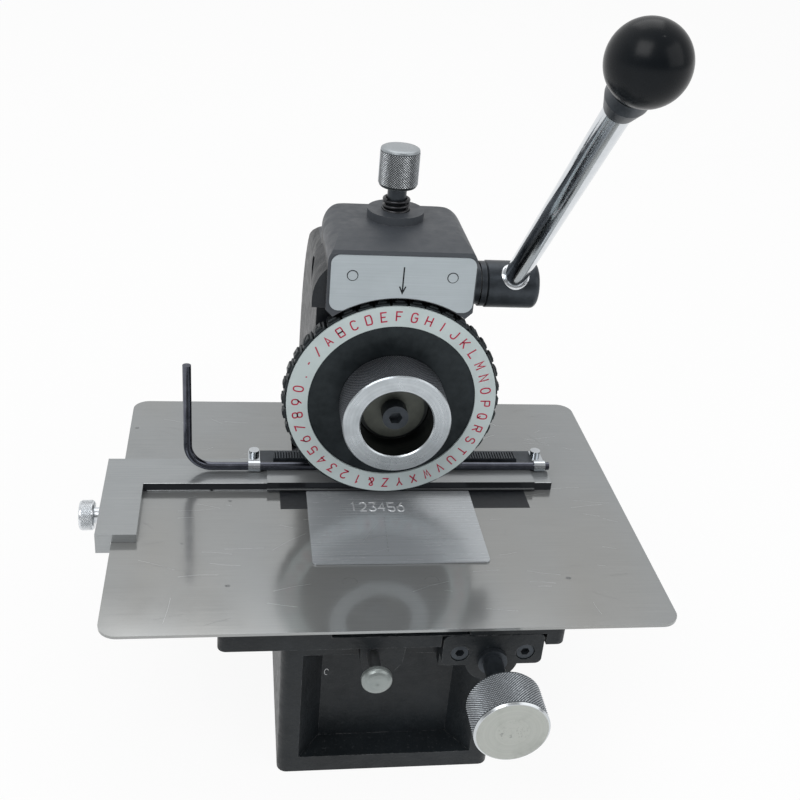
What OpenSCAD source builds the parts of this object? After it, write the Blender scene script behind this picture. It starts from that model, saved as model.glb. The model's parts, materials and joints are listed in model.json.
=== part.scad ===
// Hand-operated metal sign embossing machine with a 40-character type wheel.
// X runs to the operator's right, Y away from the operator and Z up.
// The origin lies on the underside, on the middle plane of the frame, below the middle of the table at rest.

/* [Table] */
// Height of the working surface above the bench
table_h = 110; // [106:1:118]
// Width of the steel table sheet
table_w = 270; // [255:1:290]
// Depth of the steel table sheet
table_d = 211; // [208:1:220]
// Thickness of the table sheet
sheet_t = 1.5; // [1.2:0.1:2]
// Corner radius of the table sheet
sheet_corner_r = 9; // [4:1:14]
// Half width of the rear notch that clears the column
notch_half_w = 43; // [40:1:46]
// Distance from the middle of the table to the notch
notch_y = 43; // [42:0.5:44]
// Width of the slide tongue under the sheet
tongue_w = 60; // [50:1:60]
// Thickness of the slide tongue
tongue_t = 9.3; // [8:0.1:9.6]
// Rearward travel of the table
table_travel = 34; // [20:1:34]

/* [Pedestal] */
// Width of the pedestal
pedestal_w = 105; // [104:1:112]
// Distance from the origin to the pedestal's front face
pedestal_front = 85.2; // [84:0.2:86]
// Distance from the origin to the pedestal's rear face
pedestal_back = 130; // [128:1:140]
// Radius of the pedestal's upright corners
pedestal_corner_r = 5; // [3:1:6]
// Width of the flanges beside the front recess
flange_w = 10.5; // [8:0.5:11]
// Height of the flange under the front recess
flange_h = 10; // [8:0.5:14]
// Depth of the front recess
recess_d = 15; // [8:1:15]
// How much the front recess narrows towards its back on each side
recess_draft = 11; // [8:0.5:11]
// Height of the solid band above the front recess
band_h = 17.5; // [16:0.5:20]
// Thickness of the pedestal's walls
pedestal_wall = 13; // [11:0.5:14]
// Thickness of the pedestal's top
pedestal_top_t = 10.5; // [9:0.5:12]
// Thickness of the bottom cover
cover_t = 2; // [1.5:0.5:3]

/* [Saddle] */
// Width of the saddle under the table sheet
saddle_w = 165; // [160:1:176]
// Distance from the origin to the saddle's front face
saddle_front = 97; // [95:0.5:98]
// Thickness of the saddle
saddle_t = 13; // [12.5:0.1:13.5]
// Depth of the skirt along the saddle's front edge
skirt_h = 3.5; // [2:0.5:5]
// Thickness of the adjusting gib beside the tongue
gib_t = 5; // [4:0.5:5]
// Thickness of the apron behind the feed screw bracket
apron_t = 6.3; // [5:0.1:6.4]

/* [Frame arm] */
// Half width of the neck and column
neck_half_w = 36.2; // [35:0.2:37]
// Half width of the head's machined block, about the wheel
head_half_w = 36.1; // [35.5:0.1:37]
// Half width of the cast body behind the machined block
cast_half_w = 39.5; // [38:0.5:41]
// Distance from the origin to the head's front face
head_front = 4.5; // [4:0.1:6]
// Distance from the origin to the column's front face
column_front = 80; // [79:0.5:82]
// Height of the neck's underside above the table
neck_under = 92; // [90:0.5:93]
// Height of the head's lower edge above the table
head_under = 109.5; // [108:0.5:111]
// Height of the cast body's shoulder above the table
shoulder_h = 140; // [134:0.5:142]
// Radius of the head's upper edges
head_round_r = 9; // [6:0.5:10]
// Height of the head's top above the table
head_top = 146.5; // [145:0.5:150]
// Radius of the round boss on the head
boss_r = 14.3; // [13:0.1:16]
// Height of the round boss
boss_h = 4.3; // [3:0.1:6]

/* [Type wheel] */
// Sideways distance of the wheel from the middle plane
wheel_x = 3.3; // [0:0.1:4]
// Radius at the face of the type blocks
type_r = 56.5; // [55.5:0.1:57]
// Number of type blocks
type_count = 40; // [30:1:40]
// Width of a type block across the wheel's rim
type_block_w = 7.4; // [6:0.1:7.6]
// Gap between type and table with the lever up
type_gap = 5.8; // [5.5:0.1:8]
// Height of the raised characters on the type blocks
type_raise = 1.2; // [0.6:0.1:1.4]
// Depth of the type blocks along the axis
type_depth = 8; // [6:0.5:8]
// Radius of the type disc inside the blocks
disc_r = 47; // [44:0.5:48]
// Distance from the origin to the front of the type disc
disc_front = 4; // [3.7:0.1:4.2]
// Outer radius of the character ring
ring_r = 53.5; // [51:0.1:54]
// Inner radius of the character ring
ring_hole_r = 42.8; // [38:0.1:44]
// Thickness of the character ring
ring_t = 1; // [0.8:0.1:1.5]
// Radius of the wheel's hand knob
cup_r = 27; // [25:0.5:30]
// Radius of the recess in the hand knob
cup_bore_r = 18.2; // [16:0.1:19]
// Length of the hand knob
cup_len = 23; // [22:0.2:30]
// Thickness of the hand knob's floor
cup_floor_t = 5.5; // [4:0.5:8]
// Radius of the arbor that the wheel turns on
arbor_r = 6; // [5:0.5:7]
// Radial clearance of the running fits
running_gap = 0.06; // [0.03:0.01:0.1]

/* [Ram and lever] */
// Width of the ram
ram_w = 24; // [22:0.5:26]
// Distance from the origin to the ram's front face
ram_front = 21; // [20:0.5:22]
// Depth of the ram
ram_d = 27; // [26:0.5:28]
// Clearance of the ram in its channel, each side
ram_gap = 0.1; // [0.05:0.01:0.2]
// Distance from the origin to the lever shaft
shaft_y = 39.3; // [38.8:0.1:39.6]
// Height of the lever shaft above the table
shaft_h = 110.2; // [109:0.2:112]
// Radius of the lever shaft
shaft_r = 10; // [9.5:0.1:10.4]
// Throw of the crank journal on the shaft
throw = 5.09; // [4.6:0.01:5.1]
// Radius of the crank journal
journal_r = 4.9; // [4.5:0.1:4.9]
// Swing of the lever in degrees
swing = 50; // [40:1:50]
// Forward tilt of the lever at rest in degrees
lever_tilt = 44.4; // [35:0.2:50]
// Distance of the lever from the middle plane
lever_x = 68; // [66:0.5:72]
// Radius of the lever rod
lever_r = 6; // [5:0.5:7]
// Distance from the shaft's axis to the ball's centre
lever_len = 205; // [160:1:230]
// Radius of the ball knob
ball_r = 16; // [14:0.5:20]
// Radius of the lever hub
hub_r = 12.4; // [12:0.1:14]
// Length of the lever hub
hub_len = 28; // [26:0.1:32]

/* [Depth screw] */
// Radius of the depth screw's stem
depth_r = 4.8; // [4:0.1:5.5]
// Radius of the depth screw's knob
depth_knob_r = 9.9; // [9:0.1:12]
// Height of the depth screw's knob
depth_knob_h = 19.5; // [14:0.5:24]
// Gap between the boss and the depth screw's knob
depth_gap = 12; // [10:0.5:14]
// Upward travel of the depth screw
depth_travel = 3; // [1:0.5:3]

/* [Feed screw] */
// Distance of the feed screw from the middle plane
feed_x = 47.5; // [46.5:0.5:48]
// Depth of the feed screw below the table surface
feed_drop = 26.5; // [26:0.5:27.5]
// Radius of the feed screw's thread
feed_r = 4; // [3.5:0.5:4]
// Radius of the feed knob
feed_knob_r = 17.5; // [15:0.5:19]
// Length of the feed knob
feed_knob_len = 22; // [16:1:26]
// Length of the neck between the bracket and the feed knob
feed_neck_len = 25; // [18:1:30]
// Half width of the feed screw bracket
bracket_half_w = 24.5; // [23:0.5:26]
// Thickness of the feed screw bracket
bracket_t = 5.6; // [5:0.1:7]
// Distance between the bracket's screws
bracket_pitch = 32; // [30:1:34]
// Length of the table nut along the screw
nut_len = 16; // [12:1:20]

/* [Front plunger] */
// Distance of the plunger from the middle plane
plunger_x = -10; // [-11:0.5:-8]
// Depth of the plunger below the table surface
plunger_drop = 23; // [22.5:0.5:24]
// Radius of the plunger's pin
plunger_r = 3; // [2.5:0.1:3.2]
// Radius of the plunger's knob
plunger_knob_r = 7.2; // [6:0.1:8]
// Outward travel of the plunger
plunger_travel = 4; // [2:0.5:4]

/* [Guide and carriage] */
// Thickness of the angled guide plate
guide_t = 4.6; // [4:0.1:5]
// Distance from the origin to the guide's front edge
guide_front = 8.4; // [8.3:0.1:9]
// Depth of the guide's long arm
guide_d = 24.6; // [23:0.2:26]
// Overhang of the guide past the table's left edge
guide_over = 7.8; // [7:0.1:10]
// Width of the guide's short arm
guide_arm_w = 20; // [16:1:30]
// Length of the guide's short arm ahead of the long arm
guide_arm_len = 45; // [30:1:60]
// Depth of the guide's lip below the table surface
guide_lip = 6.3; // [5:0.1:12]
// Right end of the guide's long arm
guide_right = 99; // [97:1:110]
// Radius of the thumb screw's head
thumb_r = 7.8; // [6:0.1:9]
// Length of the thumb screw's head
thumb_len = 7.4; // [5:0.1:10]
// Radius of the clamp rod
rod_r = 2.25; // [2:0.05:2.3]
// Height of the clamp rod's upright handle above its axis
rod_handle_h = 61; // [40:1:80]
// Bend radius of the clamp rod
rod_bend_r = 13; // [8:1:16]
// Distance of the upright handle from the middle plane
rod_handle_x = -100; // [-104:1:-92]
// Distance from the origin to the clamp rod's axis
rod_y = 21; // [20.5:0.1:21.5]
// Pitch of the rack teeth
rack_pitch = 1.5; // [1:0.5:3]
// Height of the rack above the carriage bar
rack_h = 2.4; // [1.5:0.1:3]
// Thickness of the carriage bar
bar_t = 3.2; // [2.5:0.1:3.6]

/* [Sign blank] */
// Width of the sign blank
blank_w = 89; // [60:1:110]
// Depth of the sign blank
blank_d = 64; // [40:1:90]
// Thickness of the sign blank
blank_t = 0.8; // [0.5:0.1:1]

/* [Hidden] */
$fn = 96;
slide_gap = 0.1;
air_gap = 0.3;
eps = 0.02;

// Levels of the table, saddle and pedestal
sheet_under = table_h - sheet_t;
saddle_top = sheet_under - slide_gap;
saddle_under = saddle_top - saddle_t;
pedestal_h = saddle_under;
groove_depth = tongue_t + slide_gap;
tongue_under = sheet_under - tongue_t;
pedestal_hw = pedestal_w / 2;
pedestal_right = pedestal_hw + 5;
saddle_back = column_front - 2;
table_hd = table_d / 2;
tongue_hw = tongue_w / 2;
tongue_front = table_hd - 12;
tongue_back = notch_y - 2;
gib_x = tongue_hw + slide_gap;
top_window_hw = 20;
top_window_front = pedestal_front - 24;
top_window_back = 45;
cavity_hw = pedestal_hw - pedestal_wall;
cavity_front = pedestal_front - recess_d - 9;
cavity_back = pedestal_back - 10;
cover_screw_r = 2;
cover_ledge = 12;
lug_r = 6;
lug_inset = 4.5;

// Wheel, ram and shaft
wheel_z = table_h + type_gap + type_r;
disc_back = -disc_front + type_depth;
index_r = 26;
index_t = 3;
index_back = disc_back + index_t;
notch_ring_r = 22;
detent_r = 3;
detent_nose_y = index_back + air_gap;
detent_depth = 15;
detent_travel = 1.8;
wheel_hub_r = 12;
wheel_hub_back = 14;
neck_front = index_back + 1;
washer_r = cup_bore_r - 2.7;
washer_t = 2.5;
washer_front = -disc_front - cup_floor_t - air_gap - washer_t;
knob_screw_ring_r = (cup_r + cup_bore_r) / 2 - 0.5;
knob_screw_seat = disc_back - 3.2;
knob_screw_angles = [30, 150, 270];
head_x0 = wheel_x - head_half_w;
head_x1 = wheel_x + head_half_w;
pointer_t = 0.8;
head_back = 54;
head_corner_r = 13;
pointer_r = type_r + 1.6;
rivet_x = 24.2;
rivet_z = table_h + head_top - 15;
cup_front = -disc_front - cup_len;
cup_floor = -disc_front - cup_floor_t;
shaft_z = table_h + shaft_h;
swing_half = swing / 2;
crank_y = shaft_y - throw * cos(swing_half);
crank_z = shaft_z + throw * sin(swing_half);
slot_hh = journal_r + 0.1;
slot_front = shaft_y - throw - journal_r - air_gap;
slot_back = crank_y + journal_r + 2 * air_gap;
ram_back = ram_front + ram_d;
ram_x0 = wheel_x - ram_w / 2;
ram_x1 = wheel_x + ram_w / 2;
ram_bottom = wheel_z - 29;
ram_split = crank_z + slot_hh;
ram_top = table_h + neck_under + 45;
channel_top = ram_top + air_gap + 3 + depth_travel + 0.7;
pad_r = 8;
pad_t = 3;
pad_z = ram_top + air_gap;
spring_x = 17;
spring_y = 14.5;
spring_r = 3.6;
spring_bore_r = spring_r + 1;
spring_wire = 0.8;
spring_top = table_h + neck_under + 32;
spring_bar_z = table_h + neck_under - 12;
spring_bar_h = 6;
spring_bar_mid = spring_bar_z + spring_bar_h / 2;
bar_screw_x = 7;
bush_wall = 1;
bush_r = shaft_r + bush_wall;
bush_gap = 0.8;
shaft_left = -neck_half_w + 5;
journal_x0 = ram_x0 - 0.5;
journal_x1 = ram_x1 + 0.5;
bush_inset = 4;
bush_end_x = neck_half_w + 13.9;
collar_x0 = bush_end_x + 0.4;
collar_w = 2.8;
hub_round_r = 3;
rod_tail = 7;
stud_r = 4;
ferrule_len = 14.5;
ball_flat = ball_r - 1;
hub_x0 = collar_x0 + collar_w + 0.3;
hub_x1 = hub_x0 + hub_len;
depth_x = wheel_x;
depth_y = 36;
boss_top = table_h + head_top + boss_h;
depth_knob_z = boss_top + depth_gap;

// Feed screw, plunger, guide and carriage
feed_z = table_h - feed_drop;
bracket_back = -pedestal_front - apron_t - 0.1;
bracket_front = bracket_back - bracket_t;
bracket_top = saddle_top - groove_depth - 0.6;
bracket_boss_r = 13;
bracket_screw_x = bracket_pitch / 2;
bracket_screw_z = feed_z + 4;
neck_r = 4.9;
feed_back = 10;
feed_channel_hw = 6;
nut_hw = 5;
nut_front = -52;
plunger_z = table_h - plunger_drop;
plunger_bore_r = 5;
lug_front = bracket_back - 4;
plunger_knob_back = lug_front - 14;
lug_left = plunger_x - 6.5;
lug_right = plunger_x + 16;
stop_y = -56.5;
stop_hd = 3.5;
stop_pin_x = 3;
plunger_back = stop_y - stop_hd - 0.4;
guide_z = table_h + slide_gap;
guide_top = guide_z + guide_t;
guide_left = -table_w / 2 - guide_over;
guide_back = guide_front + guide_d;
thumb_y = -12;
thumb_z = table_h - sheet_t / 2;
rod_z = guide_top + rod_r + 0.75;
bar_z = guide_top + 0.2;
bar_front = rod_y + rod_r + 1.1;
bar_back = guide_back + air_gap;
bar_left = -67.5;
bar_right = 96;
rack_left = -54.5;
rack_right = 82;
clip_w = 6.3;
clip_wall = 0.8;
clip_screw_y = bar_back - 2;
clip_left_x = -64.8;
clip_right_x = 94;
rod_right = clip_right_x + clip_w / 2 + 2.5;
leaf_t = 0.8;
leaf_left = -58;
leaf_right = 89;
blank_z = table_h + 0.2;
leaf_foot_z = blank_z + blank_t + 0.2;
leaf_front = 6;

// Shared shapes

// A box between two corners
module box(x, y, z) {
    translate([x[0], y[0], z[0]])
        cube([x[1] - x[0], y[1] - y[0], z[1] - z[0]]);
}

// A cylinder along X through the given place in the YZ plane
module bar_x(x, y, z, r) {
    translate([x[0], y, z])
        rotate([0, 90, 0])
            cylinder(r = r, h = x[1] - x[0]);
}

// A cylinder along Y through the given place in the XZ plane
module bar_y(x, y, z, r) {
    translate([x, y[0], z])
        rotate([-90, 0, 0])
            cylinder(r = r, h = y[1] - y[0]);
}

// A cylinder along Z through the given place in the XY plane
module bar_z(x, y, z, r) {
    translate([x, y, z[0]])
        cylinder(r = r, h = z[1] - z[0]);
}

// A flat rectangle with round corners, between two corners
module round_rect(x, y, r) {
    translate([x[0] + r, y[0]])
        square([x[1] - x[0] - 2 * r, y[1] - y[0]]);
    translate([x[0], y[0] + r])
        square([x[1] - x[0], y[1] - y[0] - 2 * r]);
    for (cx = [x[0] + r, x[1] - r], cy = [y[0] + r, y[1] - r])
        translate([cx, cy])
            circle(r = r);
}

// A plate with round upright corners
module plate(x, y, z, r) {
    translate([0, 0, z[0]])
        linear_extrude(height = z[1] - z[0])
            round_rect(x, y, r);
}

// An outline in the YZ plane pushed along X
module profile_x(x) {
    translate([x[0], 0, 0])
        rotate([90, 0, 90])
            linear_extrude(height = x[1] - x[0])
                children();
}

// An outline in the XZ plane pushed along Y
module profile_y(y) {
    translate([0, y[1], 0])
        rotate([90, 0, 0])
            linear_extrude(height = y[1] - y[0])
                children();
}

// A socket screw along Z, its head's face up at the given level
module socket_screw_z(x, y, z_face, r, head_h, shank_len) {
    difference() {
        union() {
            bar_z(x, y, [z_face - head_h, z_face], 1.65 * r);
            bar_z(x, y, [z_face - head_h - shank_len, z_face - head_h + eps], r);
        }
        translate([x, y, z_face - 0.6 * head_h])
            cylinder(r = r, h = head_h, $fn = 6);
    }
}

// A ring of round wire around a vertical axis
module wire_ring(r, wire_r) {
    rotate_extrude()
        translate([r, 0])
            circle(r = wire_r, $fn = 24);
}

// A coil drawn as stacked rings of wire, standing on the given level
module coil(x, y, z, r, wire_r, turns) {
    step = (z[1] - z[0] - 2 * wire_r) / (turns - 1);
    for (i = [0 : turns - 1])
        translate([x, y, z[0] + wire_r + i * step])
            wire_ring(r, wire_r);
}

// Places and lengths of repeated fasteners
saddle_screw_spots = [[-44, -56], [-44, 58], [44, 58]];
gib_screw_spots = [for (y = [-60, 55]) [gib_x + gib_t / 2, y]];
nut_stud_spots = [for (s = [0.25, 0.75]) [feed_x, nut_front + s * nut_len]];
arm_bolt_spots = [for (x = [-24, 24], y = [column_front + 14, pedestal_back - 17]) [x, y]];
table_screw_spots = [for (x = [-20, 20], y = [-70, 24]) [x, y]];
arm_bolt_head = 8;
arm_bolt_len = 24;
cap_screw_grip = 12;
bar_screw_reach = 8.5;
spring_pin_hw = 5.8;
stop_pin_len = 6;
cap_screw_spots = [for (x = [-6, 6], y = [ram_front + 3.9, ram_back - 3.9]) [wheel_x + x, y]];
cover_spots = [
    for (x = [-cavity_hw + lug_inset, cavity_hw - lug_inset],
         y = [-cavity_front + lug_inset, cavity_back - lug_inset]) [x, y]
];

// The pedestal: a hollow casting with a recessed front and an open channel for the feed screw
module pedestal() {
    color("#25292d")
    difference() {
        plate([-pedestal_hw, pedestal_right], [-pedestal_front, pedestal_back], [0, pedestal_h],
            pedestal_corner_r);
        pedestal_recess();
        pedestal_hollow();
        box([feed_x - feed_channel_hw, pedestal_right + 1], [-pedestal_front - 1, feed_back],
            [feed_z - feed_channel_hw - 3, pedestal_h + 1]);
        bar_y(feed_x, [feed_back - 1, feed_back + 8], feed_z, feed_r - 1 + running_gap);
        bar_y(plunger_x, [-pedestal_front - 1, -top_window_front - 5], plunger_z, plunger_bore_r);
        bar_y(plunger_x, [-pedestal_front, -top_window_front + 1], plunger_z, plunger_r + running_gap);
        for (p = saddle_screw_spots)
            bar_z(p[0], p[1], [pedestal_h - 9.5, pedestal_h + 1], 3 + eps);
        for (p = arm_bolt_spots)
            bar_z(p[0], p[1], [pedestal_h - pedestal_top_t - 1, pedestal_h + 1], 4.2);
        for (p = cover_spots)
            bar_z(p[0], p[1], [cover_t - 1, cover_ledge - 1], cover_screw_r + eps);
    }
}

// The recess in the pedestal's front face, with its sloping side walls
module pedestal_recess() {
    left = -pedestal_hw + flange_w;
    right = pedestal_right - flange_w;
    slope = recess_draft / recess_d;
    translate([0, 0, flange_h])
        linear_extrude(height = pedestal_h - band_h - flange_h)
            polygon([
                [left - slope, -pedestal_front - 1],
                [right + slope, -pedestal_front - 1],
                [right - recess_draft, -pedestal_front + recess_d],
                [left + recess_draft, -pedestal_front + recess_d]
            ]);
}

// The room inside the pedestal, with the window in its top and the step for the bottom cover
module pedestal_hollow() {
    difference() {
        union() {
            box([-cavity_hw, cavity_hw], [-cavity_front, cavity_back], [-1, pedestal_h - pedestal_top_t]);
            box([-top_window_hw, top_window_hw], [-top_window_front, top_window_back],
                [pedestal_h - pedestal_top_t - 1, pedestal_h + 1]);
        }
        for (p = cover_spots)
            bar_z(p[0], p[1], [cover_t, cover_ledge], lug_r);
    }
}

// The sheet that closes the pedestal from below
module bottom_cover() {
    color("#3a3d40")
    difference() {
        box([-cavity_hw + slide_gap, cavity_hw - slide_gap],
            [-cavity_front + slide_gap, cavity_back - slide_gap], [0, cover_t]);
        for (p = cover_spots)
            bar_z(p[0], p[1], [-1, cover_t + 1], cover_screw_r + slide_gap);
    }
}

// The screws of the bottom cover, with flush heads
module cover_screws() {
    color("#8c8f92")
    for (p = cover_spots)
        bar_z(p[0], p[1], [0.2, cover_ledge - 2], cover_screw_r);
}

// The saddle: a wide plate with the table's groove, the apron and the plunger's lug
module saddle() {
    color("#26292c")
    difference() {
        union() {
            plate([-saddle_w / 2, saddle_w / 2], [-saddle_front, saddle_back],
                [saddle_under, saddle_top], 4);
            intersection() {
                plate([-saddle_w / 2, saddle_w / 2], [-saddle_front, saddle_back],
                    [saddle_under - skirt_h, saddle_under + eps], 4);
                box([-saddle_w / 2, saddle_w / 2], [-saddle_front - 1, -pedestal_front - 0.1],
                    [saddle_under - skirt_h - 1, saddle_under + 1]);
            }
            box([feed_x - bracket_half_w, feed_x + bracket_half_w],
                [bracket_back, -pedestal_front - 0.1], [feed_z - 8, saddle_under + eps]);
            profile_y([lug_front, -pedestal_front - 0.1])
                saddle_lug_outline();
        }
        box([feed_x - bracket_half_w - 1, feed_x + bracket_half_w + 1],
            [-saddle_front - 1, bracket_back], [saddle_under - skirt_h - 1, bracket_top + slide_gap]);
        box([-tongue_hw - slide_gap, gib_x + gib_t + slide_gap], [-saddle_front - 1, saddle_back + 1],
            [saddle_top - groove_depth, saddle_top + 1]);
        box([-top_window_hw + 4, top_window_hw - 14], [-top_window_front - 3, top_window_back],
            [saddle_under - 1, saddle_top]);
        box([feed_x - nut_hw - air_gap, feed_x + nut_hw + air_gap],
            [nut_front - 2, nut_front + nut_len + table_travel + 2], [saddle_under - 1, saddle_top + 1]);
        bar_y(feed_x, [bracket_back - 1, -pedestal_front + 1], feed_z, feed_r + running_gap);
        bar_y(plunger_x, [lug_front - 1, -pedestal_front + 1], plunger_z, plunger_r + running_gap);
        for (s = [-1, 1])
            bar_y(feed_x + s * bracket_screw_x, [bracket_back - 1, -pedestal_front + 1],
                bracket_screw_z, 2.5 + eps);
        for (p = saddle_screw_spots) {
            bar_z(p[0], p[1], [saddle_under - 1, saddle_top + 1], 3.2);
            bar_z(p[0], p[1], [saddle_top - groove_depth - 0.2, saddle_top + 1], 5.3);
        }
        for (p = gib_screw_spots)
            bar_z(p[0], p[1], [saddle_under + 0.8, saddle_top], 1.5 + eps);
    }
}

// Outline of the lug that hangs from the saddle and carries the plunger
module saddle_lug_outline() {
    polygon([
        [lug_left, saddle_under + eps],
        [lug_right, saddle_under + eps],
        [lug_right - 1.5, plunger_z - 6],
        [lug_right - 7, plunger_z - 13],
        [lug_left + 4, plunger_z - 13],
        [lug_left + 1, plunger_z - 6]
    ]);
}

// The screws that hold the saddle on the pedestal
module saddle_screws() {
    color("#3c3c3e")
    for (p = saddle_screw_spots)
        socket_screw_z(p[0], p[1], saddle_top - groove_depth + 5.6, 3, 5.6, 12);
}

// The adjusting gib beside the table's tongue
module gib() {
    color("#8d9093")
    difference() {
        box([gib_x, gib_x + gib_t], [-saddle_front + 3, saddle_back - 3],
            [saddle_top - groove_depth, saddle_top - 0.2]);
        for (p = gib_screw_spots)
            bar_z(p[0], p[1], [saddle_under, saddle_top + 1], 1.6);
    }
}

// The screws of the gib
module gib_screws() {
    color("#4a4b4d")
    for (p = gib_screw_spots)
        bar_z(p[0], p[1], [saddle_under + 1, saddle_top - 0.4], 1.5);
}

// A point on a smooth curve with two handles
function bend_point(a, b, c, d, t) =
    pow(1 - t, 3) * a + 3 * pow(1 - t, 2) * t * b + 3 * (1 - t) * pow(t, 2) * c + pow(t, 3) * d;

// A row of points along that curve
function bend_points(a, b, c, d, n) = [for (i = [0 : n]) bend_point(a, b, c, d, i / n)];

// Side outline of the neck and column, with its round throat
module neck_outline() {
    throat_r = 84;
    throat_x = column_front - throat_r;
    throat_z = table_h + 8;
    throat_end = acos((neck_front - throat_x) / throat_r);
    column_back = pedestal_back - 1;
    neck_top = table_h + shoulder_h;
    polygon(concat(
        [[neck_front, neck_top]],
        bend_points([40, neck_top], [74, neck_top - 12], [124, neck_top - 42],
            [column_back, table_h + 30], 14),
        [[column_back, pedestal_h], [column_front, pedestal_h]],
        [for (a = [0 : 5 : 75]) [throat_x + throat_r * cos(a), throat_z + throat_r * sin(a)]],
        [[neck_front, throat_z + throat_r * sin(throat_end)]]
    ));
}

// Side outline of the raised ridge behind the head
module ridge_outline() {
    ridge_front = 30;
    ridge_back = pedestal_back - 3;
    polygon(concat(
        [[ridge_front, table_h + neck_under + 10]],
        [[ridge_front, table_h + head_top]],
        bend_points([50, table_h + head_top], [72, table_h + head_top - 14],
            [116, table_h + head_top - 44], [ridge_back, table_h + 46], 14),
        [[ridge_back - 5, table_h + 46]]
    ));
}

// Side outline of the head's machined block, with its gently rising top
module head_outline() {
    head_back = 54;
    polygon(concat(
        [[-head_front, table_h + head_under]],
        [[-head_front, table_h + head_top - 4.5]],
        bend_points([-head_front + 1.2, table_h + head_top - 3], [4, table_h + head_top - 1],
            [12, table_h + head_top], [24, table_h + head_top], 6),
        [[head_back, table_h + head_top]],
        [[head_back, table_h + head_under]]
    ));
}

// Front outline of the head's machined block: round upper edges and clipped lower corners
module head_front_outline() {
    clip = 3.5;
    under = table_h + head_under;
    over = table_h + head_top;
    intersection() {
        round_rect([head_x0, head_x1], [under - 2 * head_round_r, over], head_round_r);
        polygon([
            [head_x0 - 1, over + 1],
            [head_x1 + 1, over + 1],
            [head_x1 + 1, under + clip + 1],
            [head_x1 - clip, under],
            [head_x0 + clip, under],
            [head_x0 - 1, under + clip + 1]
        ]);
    }
}

// Front outline of a cast form with round shoulders
module shoulder_outline(half_w, top, r) {
    round_rect([-half_w, half_w], [table_h / 2, top], r);
}

// The frame arm: the column, neck and head in one casting
module frame_arm() {
    color("#2b3035")
    difference() {
        frame_arm_body();
        bar_y(wheel_x, [-head_front - 1, neck_front], wheel_z, type_r + 0.9);
        box([ram_x0 - ram_gap, ram_x1 + ram_gap], [ram_front - ram_gap, ram_back + ram_gap],
            [table_h, channel_top]);
        bar_x([-neck_half_w - 1, head_x1 + 1], shaft_y, shaft_z, bush_r + eps);
        bar_x([-neck_half_w - 1, -neck_half_w + bush_inset], shaft_y, shaft_z, bush_r + 0.8);
        bar_z(depth_x, depth_y, [channel_top - 1, boss_top + 1], depth_r + running_gap);
        bar_z(depth_x, depth_y, [boss_top - 1, boss_top + 1], depth_r + 2.4);
        for (s = [-1, 1])
            bar_z(wheel_x + s * spring_x, spring_y, [table_h, spring_top + 2], spring_bore_r);
        for (s = [-1, 1])
            bar_x([wheel_x + s * spring_x - 6, wheel_x + s * spring_x + 6], spring_y, spring_top + 0.8, 1);
        for (p = arm_bolt_spots)
            bar_z(p[0], p[1], [pedestal_h - 1, pedestal_h + 16], 4 + eps);
        for (s = [-1, 1])
            bar_y(wheel_x + s * rivet_x, [-head_front - 1, -head_front + 5], rivet_z, 1.5 + eps);
    }
}

// The solid of the frame arm before its holes are made
module frame_arm_body() {
    ridge_half_w = neck_half_w - 8;
    shoulder_r = 22;
    intersection() {
        profile_x([-neck_half_w, neck_half_w])
            neck_outline();
        profile_y([0, pedestal_back])
            shoulder_outline(neck_half_w, table_h + shoulder_h, shoulder_r);
    }
    intersection() {
        profile_x([-ridge_half_w, ridge_half_w])
            ridge_outline();
        profile_y([0, pedestal_back])
            shoulder_outline(ridge_half_w, table_h + head_top, head_round_r);
    }
    intersection() {
        profile_y([-head_front + 1.5, 32])
            shoulder_outline(cast_half_w, table_h + shoulder_h, shoulder_r);
        translate([0, 0, table_h + head_under + 4])
            linear_extrude(height = head_top)
                polygon([
                    [-cast_half_w, -head_front],
                    [head_x1 - 2, -head_front],
                    [neck_half_w - 2, 30],
                    [-neck_half_w, 30],
                    [-cast_half_w, 6]
                ]);
    }
    intersection() {
        profile_x([head_x0 - 1, head_x1 + 1])
            head_outline();
        profile_y([-head_front - 1, 60])
            head_front_outline();
        plate([head_x0, head_x1], [-head_back, head_back], [table_h, boss_top], head_corner_r);
    }
    bar_z(depth_x, depth_y, [table_h + head_top - 1, boss_top], boss_r);
}

// The bolts that hold the frame arm on the pedestal
module arm_bolts() {
    color("#3c3c3e")
    for (p = arm_bolt_spots)
        translate([0, 0, pedestal_h - pedestal_top_t])
            mirror([0, 0, 1])
                socket_screw_z(p[0], p[1], arm_bolt_head, 4, arm_bolt_head, arm_bolt_len);
}

// Outline of the pointer plate above the wheel
module pointer_outline() {
    difference() {
        round_rect([head_x0 + 1.5, head_x1 - 0.7],
            [table_h + head_under + 3.7, table_h + head_top - 4.9], 4.5);
        translate([wheel_x, wheel_z])
            circle(r = pointer_r);
    }
}

// The pointer plate on the head's front face
module pointer_plate() {
    color("#c9ced3")
    difference() {
        profile_y([-head_front - pointer_t, -head_front])
            pointer_outline();
        for (s = [-1, 1])
            bar_y(wheel_x + s * rivet_x, [-head_front - 2, -head_front + 1], rivet_z, 1.6);
    }
}

// The flat-headed rivets of the pointer plate
module pointer_rivets() {
    color("#b9bdc1")
    for (s = [-1, 1]) {
        bar_y(wheel_x + s * rivet_x, [-head_front - pointer_t - 0.3, -head_front - pointer_t],
            rivet_z, 2.3);
        bar_y(wheel_x + s * rivet_x, [-head_front - pointer_t - eps, -head_front + 4.5], rivet_z, 1.5);
    }
}

// A plain bearing bush for the lever shaft
module bush(x) {
    color("#4b5157")
    difference() {
        bar_x(x, shaft_y, shaft_z, bush_r);
        bar_x([x[0] - 1, x[1] + 1], shaft_y, shaft_z, shaft_r + running_gap);
    }
}

module shaft_bush_left() {
    bush([-neck_half_w + bush_inset, ram_x0 - bush_gap]);
}

module shaft_bush_right() {
    bush([ram_x1 + bush_gap, bush_end_x]);
}

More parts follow.
